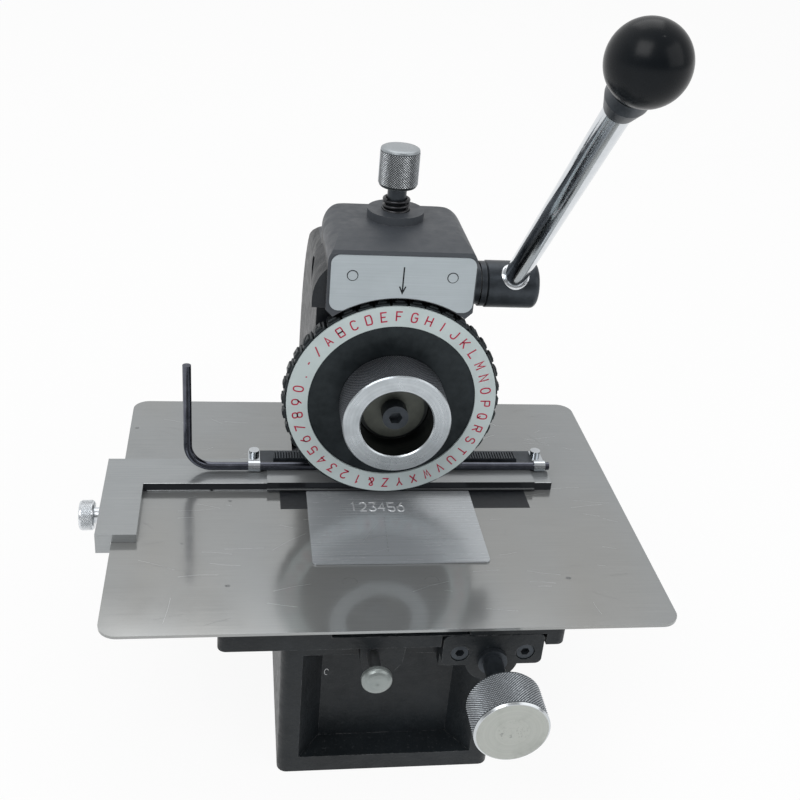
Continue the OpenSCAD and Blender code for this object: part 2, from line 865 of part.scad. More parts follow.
// Places its children at the lever shaft, turned to the lever's lean
module at_lever() {
    translate([lever_x, shaft_y, shaft_z])
        rotate([lever_tilt, 0, 0])
            children();
}

// The lever shaft with its crank journal and the cross hole for the lever rod
module lever_shaft() {
    color("#8e9296")
    difference() {
        union() {
            bar_x([shaft_left - 4, shaft_left + eps], shaft_y, shaft_z, 6);
            bar_x([shaft_left, journal_x0], shaft_y, shaft_z, shaft_r);
            bar_x([journal_x0 - eps, journal_x1 + eps], crank_y, crank_z, journal_r);
            bar_x([journal_x1, hub_x1 - 5], shaft_y, shaft_z, shaft_r);
        }
        at_lever()
            translate([0, 0, -20])
                cylinder(r = lever_r + running_gap, h = 40);
    }
}

// The collar between the bearing and the hub
module shaft_collar() {
    color("#33373a")
    difference() {
        bar_x([collar_x0, collar_x0 + collar_w], shaft_y, shaft_z, hub_r - 0.5);
        bar_x([collar_x0 - 1, collar_x0 + collar_w + 1], shaft_y, shaft_z, shaft_r + running_gap);
    }
}

// The lever hub, closed at its outer end
module lever_hub() {
    color("#3a4046")
    difference() {
        translate([hub_x0, shaft_y, shaft_z])
            rotate([0, 90, 0])
                rotate_extrude()
                    polygon(concat(
                        [[0, 0],
                        [hub_r - 0.6, 0],
                        [hub_r, 0.6]],
                        [for (a = [0 : 15 : 90]) [
                            hub_r - hub_round_r + hub_round_r * cos(a),
                            hub_len - hub_round_r + hub_round_r * sin(a)
                        ]],
                        [[0, hub_len]]
                    ));
        bar_x([hub_x0 - 1, hub_x1 - 5 + eps], shaft_y, shaft_z, shaft_r + running_gap);
        at_lever()
            translate([0, 0, 0])
                cylinder(r = lever_r + running_gap, h = hub_r + 2);
        at_lever()
            translate([0, 0, -hub_r - 2])
                cylinder(r = 2.5 + eps, h = hub_r);
    }
}

// The set screw that clamps the lever rod from below
module hub_set_screw() {
    color("#2e2e30")
    at_lever()
        translate([0, 0, -hub_r + 0.4])
            cylinder(r = 2.5, h = hub_r - 0.4 - rod_tail);
}

// The lever rod with its threaded tip in the ball
module lever_rod() {
    color("#c6cace")
    at_lever() {
        translate([0, 0, -rod_tail])
            cylinder(r = lever_r, h = rod_tail + lever_len - ball_r - 5);
        cylinder(r = stud_r, h = lever_len - 6);
    }
}

// The conical ferrule under the ball
module ball_ferrule() {
    step_z = ferrule_len - 5.4;
    color("#c0c4c8")
    at_lever()
        translate([0, 0, lever_len - ball_flat - 0.3 - ferrule_len])
            rotate_extrude()
                polygon([
                    [lever_r + running_gap, 0],
                    [lever_r + 0.8, 0],
                    [9, 8],
                    [9, ferrule_len],
                    [stud_r + 0.2, ferrule_len],
                    [stud_r + 0.2, step_z],
                    [lever_r + running_gap, step_z]
                ]);
}

// The ball knob, with the flat at its socket
module ball_knob() {
    color("#121315")
    at_lever()
        translate([0, 0, lever_len])
            difference() {
                sphere(r = ball_r);
                translate([0, 0, -2 * ball_r - ball_flat])
                    cylinder(r = ball_r, h = 2 * ball_r);
                translate([0, 0, -ball_r - 1])
                    cylinder(r = stud_r + running_gap, h = ball_r - 4);
            }
}

// The ram: the sliding block that carries the wheel's arbor, with its fork open at the top
module ram() {
    color("#6f7478")
    difference() {
        box([ram_x0, ram_x1], [ram_front, ram_back], [ram_bottom, ram_split]);
        box([ram_x0 - 1, ram_x1 + 1], [slot_front, slot_back], [crank_z - slot_hh, ram_split + 1]);
        bar_y(wheel_x, [ram_front - 1, ram_back + 1], wheel_z, arbor_r + eps);
        bar_y(wheel_x, [ram_front - 1, ram_front + detent_depth], wheel_z - notch_ring_r,
            detent_r + running_gap);
        for (p = cap_screw_spots)
            bar_z(p[0], p[1], [ram_split - 14, ram_split + 1], 2 + eps);
        for (s = [-1, 1])
            bar_y(wheel_x + s * bar_screw_x, [ram_front - 1, ram_front + 9], spring_bar_mid, 1.5 + eps);
    }
}

// The cap that closes the ram's fork over the crank journal
module ram_cap() {
    color("#7b8084")
    difference() {
        box([ram_x0, ram_x1], [ram_front, ram_back], [ram_split, ram_top]);
        for (p = cap_screw_spots) {
            bar_z(p[0], p[1], [ram_split - 1, ram_top + 1], 2.1);
            bar_z(p[0], p[1], [ram_top - 4.4, ram_top + 1], 3.5);
        }
    }
}

// The screws of the ram cap
module ram_cap_screws() {
    color("#333436")
    for (p = cap_screw_spots)
        socket_screw_z(p[0], p[1], ram_top - 0.4, 2, 4, ram_top - 4.4 - ram_split + cap_screw_grip);
}

// The bar on the ram that the return springs pull up
module spring_bar() {
    color("#7b8084")
    difference() {
        union() {
            box([wheel_x - spring_x - 5, wheel_x + spring_x + 5], [spring_y + 1.2, ram_front],
                [spring_bar_z, spring_bar_z + spring_bar_h]);
            for (s = [-1, 1])
                bar_z(wheel_x + s * spring_x, spring_y, [spring_bar_z, spring_bar_z + spring_bar_h],
                    spring_r + 0.4);
        }
        for (s = [-1, 1])
            bar_y(wheel_x + s * bar_screw_x, [spring_y - 1, ram_front + 1], spring_bar_mid, 1.6);
    }
    color("#333436")
    for (s = [-1, 1]) {
        bar_y(wheel_x + s * bar_screw_x, [spring_y - 1.8, spring_y + 1.2 - eps], spring_bar_mid, 2.8);
        bar_y(wheel_x + s * bar_screw_x, [spring_y + 1.2 - 2 * eps, ram_front + bar_screw_reach],
            spring_bar_mid, 1.5);
    }
}

// The pair of tension springs that lift the ram
module return_springs() {
    color("#9a9da0")
    for (s = [-1, 1]) {
        coil(wheel_x + s * spring_x, spring_y, [spring_bar_z + spring_bar_h, spring_top],
            spring_r - spring_wire, spring_wire, 20);
        bar_x([wheel_x + s * spring_x - spring_pin_hw, wheel_x + s * spring_x + spring_pin_hw],
            spring_y, spring_top + 0.8, 0.98);
    }
}

// The arbor that the type wheel turns on, with the shoulder that seats on the ram
module wheel_arbor() {
    color("#b4b8bc")
    difference() {
        union() {
            bar_y(wheel_x, [cup_floor - air_gap, ram_back], wheel_z, arbor_r);
            bar_y(wheel_x, [wheel_hub_back + air_gap, ram_front], wheel_z, arbor_r + 3);
        }
        bar_y(wheel_x, [cup_floor - 1, cup_floor + 17], wheel_z, 4 + eps);
    }
}

// The washer under the retaining screw
module retaining_washer() {
    color("#b9ad92")
    difference() {
        bar_y(wheel_x, [washer_front, washer_front + washer_t], wheel_z, washer_r);
        bar_y(wheel_x, [washer_front - 1, cup_floor + 1], wheel_z, 4.2);
    }
}

// The socket screw that holds the wheel on its arbor
module retaining_screw() {
    color("#26272a")
    difference() {
        union() {
            bar_y(wheel_x, [washer_front - 8, washer_front], wheel_z, 6.5);
            bar_y(wheel_x, [washer_front - eps, cup_floor + 16], wheel_z, 4);
        }
        translate([wheel_x, washer_front - 9, wheel_z])
            rotate([-90, 0, 0])
                cylinder(r = 3.5, h = 5.5, $fn = 6);
    }
}

// The sprung plunger that clicks into the index plate, bored from behind for its spring
module detent_plunger() {
    color("#a9adb1")
    difference() {
        union() {
            bar_y(wheel_x, [detent_nose_y + 4.2, ram_front + 8.5], wheel_z - notch_ring_r, detent_r);
            translate([wheel_x, detent_nose_y + 4.2 + eps, wheel_z - notch_ring_r])
                rotate([90, 0, 0])
                    rotate_extrude()
                        polygon([[0, 0], [detent_r, 0], [1.2, 4 + eps], [0, 4.2 + eps]]);
        }
        bar_y(wheel_x, [ram_front + 2.5, ram_front + 9], wheel_z - notch_ring_r, 2.1);
    }
}

// The spring behind the plunger, drawn as short as the plunger can press it
module detent_spring() {
    color("#9a9da0")
    translate([wheel_x, ram_front + 2.5 + detent_travel + air_gap, wheel_z - notch_ring_r])
        rotate([-90, 0, 0])
            coil(0, 0, [0, detent_depth - 2.5 - detent_travel - air_gap], 1.6, 0.35, 12);
}

// The disc that carries the type blocks, with its hub
module type_disc() {
    color("#1d242c")
    difference() {
        union() {
            bar_y(wheel_x, [-disc_front, disc_back], wheel_z, disc_r);
            bar_y(wheel_x, [disc_back - eps, wheel_hub_back], wheel_z, wheel_hub_r);
        }
        bar_y(wheel_x, [-disc_front - 1, wheel_hub_back + 1], wheel_z, arbor_r + running_gap);
        wheel_knob_screw_holes();
    }
}

// Stepped holes for the screws of the hand knob
module wheel_knob_screw_holes() {
    for (a = knob_screw_angles)
        translate([wheel_x, 0, wheel_z])
            rotate([0, a, 0]) {
                bar_y(knob_screw_ring_r, [-disc_front - 9, disc_back + 1], 0, 1.5 + eps);
                bar_y(knob_screw_ring_r, [knob_screw_seat, disc_back + 1], 0, 2.9);
            }
}

// One type block: a wedge with the raised pad of its character
module type_block() {
    base_r = type_r - type_raise;
    inner_w = type_block_w * (disc_r + 2) / type_r - 0.2;
    pad_hw = 2.2;
    pad_edge = 1.2;
    profile_y([-disc_front, disc_back])
        polygon([
            [-inner_w / 2, disc_r + 0.15],
            [inner_w / 2, disc_r + 0.15],
            [type_block_w / 2, base_r],
            [-type_block_w / 2, base_r]
        ]);
    box([-pad_hw, pad_hw], [-disc_front + pad_edge, disc_back - pad_edge], [base_r - eps, type_r]);
}

// The ring of type blocks
module type_blocks() {
    color("#2f3236")
    for (i = [0 : type_count - 1])
        translate([wheel_x, 0, wheel_z])
            rotate([0, i * 360 / type_count, 0])
                type_block();
}

// The light ring that names the characters
module character_ring() {
    color("#dfe6ea")
    difference() {
        bar_y(wheel_x, [-disc_front - ring_t, -disc_front], wheel_z, ring_r);
        bar_y(wheel_x, [-disc_front - ring_t - 1, -disc_front + 1], wheel_z, ring_hole_r);
    }
}

// The notched plate that the plunger clicks along
module index_plate() {
    color("#85898d")
    difference() {
        bar_y(wheel_x, [disc_back, index_back], wheel_z, index_r);
        bar_y(wheel_x, [disc_back - 1, index_back + 1], wheel_z, wheel_hub_r + running_gap);
        for (i = [0 : type_count - 1])
            translate([wheel_x, 0, wheel_z])
                rotate([0, i * 360 / type_count, 0])
                    bar_y(0, [disc_back - 1, index_back + 1], notch_ring_r, 1.15);
    }
}

// The cup-shaped hand knob of the wheel
module wheel_knob() {
    color("#c9ced4")
    difference() {
        bar_y(wheel_x, [cup_front, -disc_front], wheel_z, cup_r);
        bar_y(wheel_x, [cup_front - 1, cup_floor], wheel_z, cup_bore_r);
        bar_y(wheel_x, [cup_floor - 1, -disc_front + 1], wheel_z, arbor_r + running_gap);
        wheel_knob_screw_holes();
    }
}

// The screws that hold the hand knob from behind
module wheel_knob_screws() {
    color("#333436")
    for (a = knob_screw_angles)
        translate([wheel_x, 0, wheel_z])
            rotate([0, a, 0]) {
                bar_y(knob_screw_ring_r, [knob_screw_seat, disc_back - 0.4], 0, 2.8);
                bar_y(knob_screw_ring_r, [-disc_front - 8, knob_screw_seat + eps], 0, 1.5);
            }
}

// The pad that the depth screw sets over the ram
module depth_pad() {
    color("#8e9296")
    bar_z(depth_x, depth_y, [pad_z, pad_z + pad_t], pad_r);
}

// The threaded stem of the depth screw
module depth_screw() {
    color("#2c2f33")
    bar_z(depth_x, depth_y, [pad_z + pad_t + 0.05, depth_knob_z + 10], depth_r);
}

// The knurled knob of the depth screw
module depth_knob() {
    color("#9ea3a8")
    difference() {
        bar_z(depth_x, depth_y, [depth_knob_z, depth_knob_z + depth_knob_h], depth_knob_r);
        bar_z(depth_x, depth_y, [depth_knob_z - 1, depth_knob_z + 10.2], depth_r + running_gap);
    }
}

// The short spring around the depth screw, seated in the boss
module depth_spring() {
    color("#3a3d40")
    coil(depth_x, depth_y, [boss_top - 1, boss_top + depth_gap / 2], depth_r + 1.3, 0.95, 4);
}

// The steel table sheet with its rear notch
module table_sheet() {
    color("#c3c5c4")
    difference() {
        plate([-table_w / 2, table_w / 2], [-table_hd, table_hd], [sheet_under, table_h], sheet_corner_r);
        box([-notch_half_w, notch_half_w], [notch_y, table_hd + 1], [sheet_under - 1, table_h + 1]);
        for (p = table_screw_spots)
            bar_z(p[0], p[1], [sheet_under - 1, table_h + 1], 3.5);
        for (p = nut_stud_spots)
            bar_z(p[0], p[1], [sheet_under - 1, table_h + 1], 2.6);
    }
}

// The tongue under the sheet that slides in the saddle
module table_tongue() {
    color("#6c7073")
    difference() {
        box([-tongue_hw, tongue_hw], [-tongue_front, tongue_back], [tongue_under, sheet_under]);
        for (p = table_screw_spots)
            bar_z(p[0], p[1], [tongue_under - 1, sheet_under + 1], 2 + eps);
        for (s = [-1, 1])
            bar_z(plunger_x + s * stop_pin_x, stop_y, [tongue_under - 1, tongue_under + stop_pin_len],
                1 + eps);
    }
}

// The flush screws in the table sheet
module table_screws() {
    color("#b4b6b6")
    for (p = table_screw_spots) {
        bar_z(p[0], p[1], [sheet_under, table_h - 0.05], 3.45);
        bar_z(p[0], p[1], [tongue_under + 0.4, sheet_under + eps], 2);
    }
}

// The nut that the feed screw drives, with its two flush studs
module table_nut() {
    color("#b08d57")
    difference() {
        union() {
            box([feed_x - nut_hw, feed_x + nut_hw], [nut_front, nut_front + nut_len],
                [feed_z - 6, sheet_under]);
            for (p = nut_stud_spots)
                bar_z(p[0], p[1], [sheet_under - eps, table_h - 0.05], 2.5);
        }
        bar_y(feed_x, [nut_front - 1, nut_front + nut_len + 1], feed_z, feed_r + running_gap);
    }
}

// The block under the tongue that stops against the plunger
module stop_block() {
    color("#6c7073")
    union() {
        box([plunger_x - 5, plunger_x + 5], [stop_y - stop_hd, stop_y + stop_hd],
            [plunger_z - 5, tongue_under]);
        for (s = [-1, 1])
            bar_z(plunger_x + s * stop_pin_x, stop_y,
                [tongue_under - eps, tongue_under + stop_pin_len - 0.2], 1);
    }
}

// The bracket that bears the feed screw in front of the apron
module feed_bracket() {
    color("#303438")
    difference() {
        profile_y([bracket_front, bracket_back])
            union() {
                round_rect([feed_x - bracket_half_w, feed_x + bracket_half_w], [feed_z - 3, bracket_top], 3);
                translate([feed_x, feed_z])
                    circle(r = bracket_boss_r);
            }
        bar_y(feed_x, [bracket_front - 1, bracket_back + 1], feed_z, feed_r + running_gap);
        for (s = [-1, 1]) {
            bar_y(feed_x + s * bracket_screw_x, [bracket_front - 1, bracket_back + 1], bracket_screw_z, 2.6);
            bar_y(feed_x + s * bracket_screw_x, [bracket_front - 1, bracket_front + 4],
                bracket_screw_z, 4.6);
        }
    }
}

// The socket screws of the bracket
module bracket_screws() {
    color("#2e2e30")
    for (s = [-1, 1])
        difference() {
            union() {
                bar_y(feed_x + s * bracket_screw_x, [bracket_front + 0.5, bracket_front + 4],
                    bracket_screw_z, 4.25);
                bar_y(feed_x + s * bracket_screw_x, [bracket_front + 4 - eps, -pedestal_front - 0.3],
                    bracket_screw_z, 2.5);
            }
            translate([feed_x + s * bracket_screw_x, bracket_front, bracket_screw_z])
                rotate([-90, 0, 0])
                    cylinder(r = 2.3, h = 3, $fn = 6);
        }
}

// The feed screw with its collar and journals
module feed_screw() {
    color("#9ea2a6")
    union() {
        bar_y(feed_x, [bracket_front - feed_neck_len - 9, bracket_front - 2.4], feed_z, neck_r);
        bar_y(feed_x, [bracket_front - 2.5, bracket_front - 0.1], feed_z, 7.1);
        bar_y(feed_x, [bracket_front - 0.2, feed_back - 0.5], feed_z, feed_r);
        bar_y(feed_x, [feed_back - 1, feed_back + 7.5], feed_z, feed_r - 1);
    }
}

// The knurled feed knob
module feed_knob() {
    color("#b9bec3")
    difference() {
        translate([feed_x, bracket_front - feed_neck_len, feed_z])
            rotate([90, 0, 0])
                rotate_extrude()
                    polygon([
                        [0, 0],
                        [feed_knob_r - 2.5, 0],
                        [feed_knob_r, 2],
                        [feed_knob_r, feed_knob_len - 1],
                        [feed_knob_r - 1, feed_knob_len],
                        [0, feed_knob_len]
                    ]);
        bar_y(feed_x, [bracket_front - feed_neck_len - 9.2, bracket_front], feed_z, neck_r + running_gap);
        bar_z(feed_x, bracket_front - feed_neck_len - 5, [feed_z, feed_z + feed_knob_r + 1], 1.5 + eps);
    }
}

// The grub screw that holds the feed knob
module feed_knob_screw() {
    color("#2e2e30")
    bar_z(feed_x, bracket_front - feed_neck_len - 5, [feed_z + 5, feed_z + feed_knob_r - 0.8], 1.5);
}

// The pin of the front plunger, with the ring that its spring presses on
module plunger_pin() {
    color("#b4b8bc")
    union() {
        bar_y(plunger_x, [plunger_knob_back - 3, plunger_back], plunger_z, plunger_r);
        bar_y(plunger_x, [-top_window_front - 6.8, -top_window_front - 5.3],
            plunger_z, plunger_bore_r - air_gap);
    }
}

// The domed knob of the front plunger
module plunger_knob() {
    color("#d7dadd")
    difference() {
        translate([plunger_x, plunger_knob_back, plunger_z])
            rotate([90, 0, 0])
                rotate_extrude()
                    polygon(concat(
                        [[0, 0], [plunger_knob_r - 1.6, 0], [plunger_knob_r, 1.6]],
                        [for (a = [0 : 15 : 90]) [plunger_knob_r * cos(a), 3.4 + 3.2 * sin(a)]]
                    ));
        bar_y(plunger_x, [plunger_knob_back - 3.2, lug_front], plunger_z, plunger_r + running_gap);
    }
}

// The spring that keeps the plunger in, drawn as short as the plunger can press it
module plunger_spring() {
    color("#9a9da0")
    translate([plunger_x, -pedestal_front, plunger_z])
        rotate([-90, 0, 0])
            coil(0, 0, [0, pedestal_front - top_window_front - 6.9 - plunger_travel - air_gap],
                plunger_r + 0.9, 0.6, 7);
}

// The angled guide plate with its lip over the table's left edge
module guide_plate() {
    color("#c2c6c9")
    difference() {
        union() {
            box([guide_left, guide_right], [guide_front, guide_back], [guide_z, guide_top]);
            box([guide_left, guide_left + guide_arm_w], [guide_front - guide_arm_len, guide_front + eps],
                [guide_z, guide_top]);
            box([guide_left, -table_w / 2 - air_gap], [guide_front - guide_arm_len, guide_back],
                [table_h - guide_lip, guide_z + eps]);
        }
        bar_x([guide_left - 1, -table_w / 2 + 1], thumb_y, thumb_z, 2.5 + running_gap);
    }
}

// The thumb screw that locks the guide to the table
module thumb_screw() {
    color("#c9cdd1")
    union() {
        bar_x([guide_left - 2.6 - thumb_len, guide_left - 2.6], thumb_y, thumb_z, thumb_r);
        bar_x([guide_left - 2.7, guide_left - 0.3], thumb_y, thumb_z, 4);
        bar_x([guide_left - 0.4, -table_w / 2 - air_gap], thumb_y, thumb_z, 2.5);
    }
}

// Saw-toothed outline of the rack, seen from the front
module rack_outline() {
    count = floor((rack_right - rack_left) / rack_pitch);
    base = bar_z + bar_t;
    polygon(concat(
        [[rack_left, base]],
        [for (i = [0 : count - 1]) each [
            [rack_left + (i + 0.1) * rack_pitch, base + rack_h],
            [rack_left + (i + 0.6) * rack_pitch, base + rack_h],
            [rack_left + (i + 0.85) * rack_pitch, base + rack_h - 0.7]
        ]],
        [[rack_left + count * rack_pitch, base]]
    ));
}

// The carriage bar on the guide, with its rear lip and its rack
module carriage_bar() {
    color("#1d1f22")
    union() {
        difference() {
            union() {
                box([bar_left, bar_right], [bar_front, bar_back + 3], [bar_z, bar_z + bar_t]);
                box([bar_left, bar_right], [bar_back, bar_back + 3], [guide_z + 0.3, bar_z + eps]);
            }
            for (x = [clip_left_x, clip_right_x])
                bar_z(x, clip_screw_y, [bar_z - 1, bar_z + bar_t + 1], 1.5 + eps);
        }
        profile_y([bar_front + 0.2, bar_back - 1.4])
            rack_outline();
    }
}

// One clip that holds the clamp rod down, with its pan-head screw
module carriage_clip(x) {
    foot_z = bar_z + bar_t;
    ring_r = rod_r + 0.1 + clip_wall;
    union() {
        difference() {
            union() {
                bar_x([x - clip_w / 2, x + clip_w / 2], rod_y, rod_z, ring_r);
                box([x - clip_w / 2, x + clip_w / 2], [rod_y, bar_back + 1], [foot_z, foot_z + 1.2]);
            }
            bar_x([x - clip_w, x + clip_w], rod_y, rod_z, rod_r + 0.1);
            box([x - clip_w, x + clip_w], [rod_y - 5, rod_y + 5], [rod_z - 8, guide_top + 0.3]);
            box([x - clip_w, x + clip_w], [rod_y - 1, rod_y + 1], [guide_top - 1, rod_z]);
            bar_z(x, clip_screw_y, [foot_z - 1, foot_z + 2], 1.6);
        }
        bar_z(x, clip_screw_y, [foot_z + 1.2 - eps, foot_z + 3.6], 2.8);
        bar_z(x, clip_screw_y, [bar_z + 0.4, foot_z + 1.2], 1.5);
    }
}

// The two rod clips
module carriage_clips() {
    color("#d2d6da")
    for (x = [clip_left_x, clip_right_x])
        carriage_clip(x);
}

// The bent clamp rod with its upright handle
module clamp_rod() {
    color("#54595e")
    union() {
        bar_x([rod_handle_x + rod_bend_r, rod_right], rod_y, rod_z, rod_r);
        translate([rod_handle_x + rod_bend_r, rod_y, rod_z + rod_bend_r])
            rotate([90, 0, 0])
                rotate([0, 0, 180])
                    rotate_extrude(angle = 90)
                        translate([rod_bend_r, 0])
                            circle(r = rod_r);
        bar_z(rod_handle_x, rod_y, [rod_z + rod_bend_r, rod_z + rod_handle_h], rod_r);
    }
}

// The formed strip that the rod presses on the sign blank
module clamp_strip() {
    strip_z = guide_top + 0.35;
    color("#b4b9bd")
    difference() {
        union() {
            box([leaf_left, leaf_right], [guide_front - 0.2 - leaf_t, rod_y], [strip_z, strip_z + leaf_t]);
            box([leaf_left, leaf_right], [guide_front - 0.2 - leaf_t, guide_front - 0.2],
                [leaf_foot_z, strip_z + eps]);
            box([leaf_left, leaf_right], [leaf_front, guide_front - 0.2],
                [leaf_foot_z, leaf_foot_z + leaf_t]);
        }
        bar_x([leaf_left - 1, leaf_right + 1], rod_y, rod_z, rod_r);
    }
}

// The sign blank in the clamp
module sign_blank() {
    color("#d5d8d9")
    plate([wheel_x + 4 - blank_w / 2, wheel_x + 4 + blank_w / 2],
        [guide_front - 1.1 - blank_d, guide_front - 1.1], [blank_z, blank_z + blank_t], 2);
}

pedestal();
bottom_cover();
cover_screws();
saddle();
saddle_screws();
gib();
gib_screws();
frame_arm();
arm_bolts();
pointer_plate();
pointer_rivets();
shaft_bush_left();
shaft_bush_right();
lever_shaft();
shaft_collar();
lever_hub();
hub_set_screw();
lever_rod();
ball_ferrule();
ball_knob();
ram();
ram_cap();
ram_cap_screws();
spring_bar();
return_springs();
wheel_arbor();
retaining_washer();
retaining_screw();
detent_plunger();
detent_spring();
type_disc();
type_blocks();
character_ring();
index_plate();
wheel_knob();
wheel_knob_screws();
depth_pad();
depth_screw();
depth_knob();
depth_spring();
table_sheet();
table_tongue();
table_screws();
table_nut();
stop_block();
feed_bracket();
bracket_screws();
feed_screw();
feed_knob();
feed_knob_screw();
plunger_pin();
plunger_knob();
plunger_spring();
guide_plate();
thumb_screw();
carriage_bar();
carriage_clips();
clamp_rod();
clamp_strip();
sign_blank();
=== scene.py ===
import bpy
import bmesh
import json
import math
import random
from mathutils import Matrix, Vector


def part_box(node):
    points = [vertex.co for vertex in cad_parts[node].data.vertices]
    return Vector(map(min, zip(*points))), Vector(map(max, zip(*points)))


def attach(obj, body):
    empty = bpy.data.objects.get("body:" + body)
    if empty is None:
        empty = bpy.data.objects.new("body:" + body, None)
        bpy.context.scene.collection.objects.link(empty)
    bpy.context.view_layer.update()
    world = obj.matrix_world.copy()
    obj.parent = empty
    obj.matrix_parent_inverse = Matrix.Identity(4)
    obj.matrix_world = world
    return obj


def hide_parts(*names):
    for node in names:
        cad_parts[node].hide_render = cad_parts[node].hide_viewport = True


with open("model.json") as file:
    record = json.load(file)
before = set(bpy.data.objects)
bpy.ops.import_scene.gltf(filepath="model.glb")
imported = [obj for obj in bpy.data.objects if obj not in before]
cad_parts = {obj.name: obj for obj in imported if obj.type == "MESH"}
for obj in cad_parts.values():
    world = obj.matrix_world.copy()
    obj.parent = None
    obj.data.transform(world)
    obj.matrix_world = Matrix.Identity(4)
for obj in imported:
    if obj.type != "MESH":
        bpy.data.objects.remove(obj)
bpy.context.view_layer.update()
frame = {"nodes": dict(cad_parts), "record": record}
NODES = frame["nodes"]
MM = 0.001
scene = bpy.context.scene

# Places and sizes on the machine, in millimetres. An axis is its direction and a point on it.
WHEEL_X, WHEEL_Z = 3.3, 172.3
WHEEL_AXIS = ("y", (WHEEL_X, 0, WHEEL_Z))
FEED_AXIS = ("y", (47.5, 0, 83.5))
DEPTH_AXIS = ("z", (WHEEL_X, 36.0, 0))
THUMB_AXIS = ("x", (0, -12.0, 109.25))
TABLE_TOP = 110.0
BLANK_TOP = 111.0
PLATE_FACE = -5.3
RING_FACE = -5.0
HEAD_LEFT, HEAD_BASE = -32.8, 219.2
NOTCH_HALF_WIDTH, NOTCH_FRONT = 46, 40
RETURN_SPRINGS_X = (WHEEL_X - 17, WHEEL_X + 17)
RETURN_SPRINGS_Y = 14.5

WORN_STEEL = (0.16, 0.165, 0.17)
MATERIALS = {}


# Shader nodes

class Nodes:
    """Short ways to fill a node tree. An input is an output socket to link or a plain value to set."""

    def __init__(self, owner):
        owner.use_nodes = True
        self.tree = owner.node_tree
        self.tree.nodes.clear()

    def feed(self, socket, value):
        if isinstance(value, bpy.types.NodeSocket):
            self.tree.links.new(value, socket)
        else:
            socket.default_value = value

    def add(self, kind, inputs, **settings):
        node = self.tree.nodes.new(kind)
        for key, value in settings.items():
            setattr(node, key, value)
        for key, value in inputs.items():
            self.feed(node.inputs[key], value)
        return node

    def coordinates(self, kind="Object"):
        return self.add("ShaderNodeTexCoord", {}).outputs[kind]

    def place(self, scale=(1, 1, 1), shift=(0, 0, 0)):
        """The place on the machine in metres, scaled and shifted."""
        inputs = {"Vector": self.coordinates(), "Scale": scale, "Location": shift}
        return self.add("ShaderNodeMapping", inputs).outputs["Vector"]

    def normal(self, kind="Normal"):
        return self.add("ShaderNodeNewGeometry", {}).outputs[kind]

    def split(self, vector):
        """The parts of a vector, as outputs X, Y and Z."""
        return self.add("ShaderNodeSeparateXYZ", {"Vector": vector}).outputs

    def math(self, operation, a, b, clamp=False):
        node = self.add("ShaderNodeMath", {0: a, 1: b}, operation=operation, use_clamp=clamp)
        return node.outputs["Value"]

    def both(self, a, b):
        """The product of two shares."""
        return self.math("MULTIPLY", a, b, clamp=True)

    def vector_math(self, operation, inputs, kind="Vector"):
        node = self.add("ShaderNodeVectorMath", dict(enumerate(inputs)), operation=operation)
        return node.outputs[kind]

    def noise(self, at, scale, detail, rough, distortion=0.0):
        """Soft noise: how fine it is, in waves to the metre, its levels of detail and how rough they are."""
        inputs = {"Vector": at, "Scale": scale, "Detail": detail, "Roughness": rough,
                  "Distortion": distortion}
        return self.add("ShaderNodeTexNoise", inputs).outputs["Fac"]

    def ramp(self, value, *stops):
        """Colours by value, through stops of (value, colour)."""
        node = self.add("ShaderNodeValToRGB", {"Fac": value})
        elements = node.color_ramp.elements
        while len(elements) < len(stops):
            elements.new(0.5)
        for element, (position, colour) in zip(elements, stops):
            element.position = position
            element.color = (*colour, 1)
        return node.outputs["Color"]

    def map_range(self, value, low, high, to_low, to_high):
        """Brings a value from one range into another, and keeps it inside."""
        inputs = {"Value": value, "From Min": low, "From Max": high, "To Min": to_low, "To Max": to_high}
        return self.add("ShaderNodeMapRange", inputs).outputs["Result"]

    def mix(self, share, colour, tone):
        """Blends a colour towards a fixed tone where share is high."""
        inputs = {0: share, 6: colour, 7: (*tone, 1)}
        return self.add("ShaderNodeMix", inputs, data_type="RGBA").outputs["Result"]

    def mix_shader(self, share, a, b):
        return self.add("ShaderNodeMixShader", {0: share, 1: a, 2: b}).outputs["Shader"]

    def bump(self, height, strength, distance, under=None):
        """Relief from a height, on top of the relief under it where there is one."""
        inputs = {"Height": height, "Strength": strength, "Distance": distance}
        if under is not None:
            inputs["Normal"] = under
        return self.add("ShaderNodeBump", inputs).outputs["Normal"]


class Surface(Nodes):
    """A material with one main shader."""

    def __init__(self, name):
        self.name = name
        self.material = bpy.data.materials.new(name)
        super().__init__(self.material)
        self.shader = self.add("ShaderNodeBsdfPrincipled", {})
        self.output = self.add("ShaderNodeOutputMaterial", {"Surface": self.shader.outputs["BSDF"]})

    def finish(self, colour, rough, metal=0.0, specular=0.5, relief=None):
        """Feeds the shader and enters the material under its name."""
        inputs = {"Base Color": colour, "Roughness": rough, "Metallic": metal,
                  "Specular IOR Level": specular}
        if relief is not None:
            inputs["Normal"] = relief
        for key, value in inputs.items():
            self.feed(self.shader.inputs[key], value)
        MATERIALS[self.name] = self.material


def grey(v):
    return (v, v, v)


def toned(colour, share):
    """A colour made darker or lighter by one share, up to white."""
    return tuple(min(1, share * v) for v in colour)


def edge_wear(t, radius):
    """Where an outer edge turns, in patches, for the bare metal that shows through there."""
    rounded = t.add("ShaderNodeBevel", {"Radius": radius}, samples=4).outputs["Normal"]
    facing = t.vector_math("DOT_PRODUCT", [rounded, t.normal("True Normal")], "Value")
    patches = t.map_range(t.noise(t.place(), 260, 4, 0.7), 0.42, 0.66, 0.0, 1.0)
    return t.both(patches, t.map_range(facing, 0.98, 0.75, 0.0, 1.0))


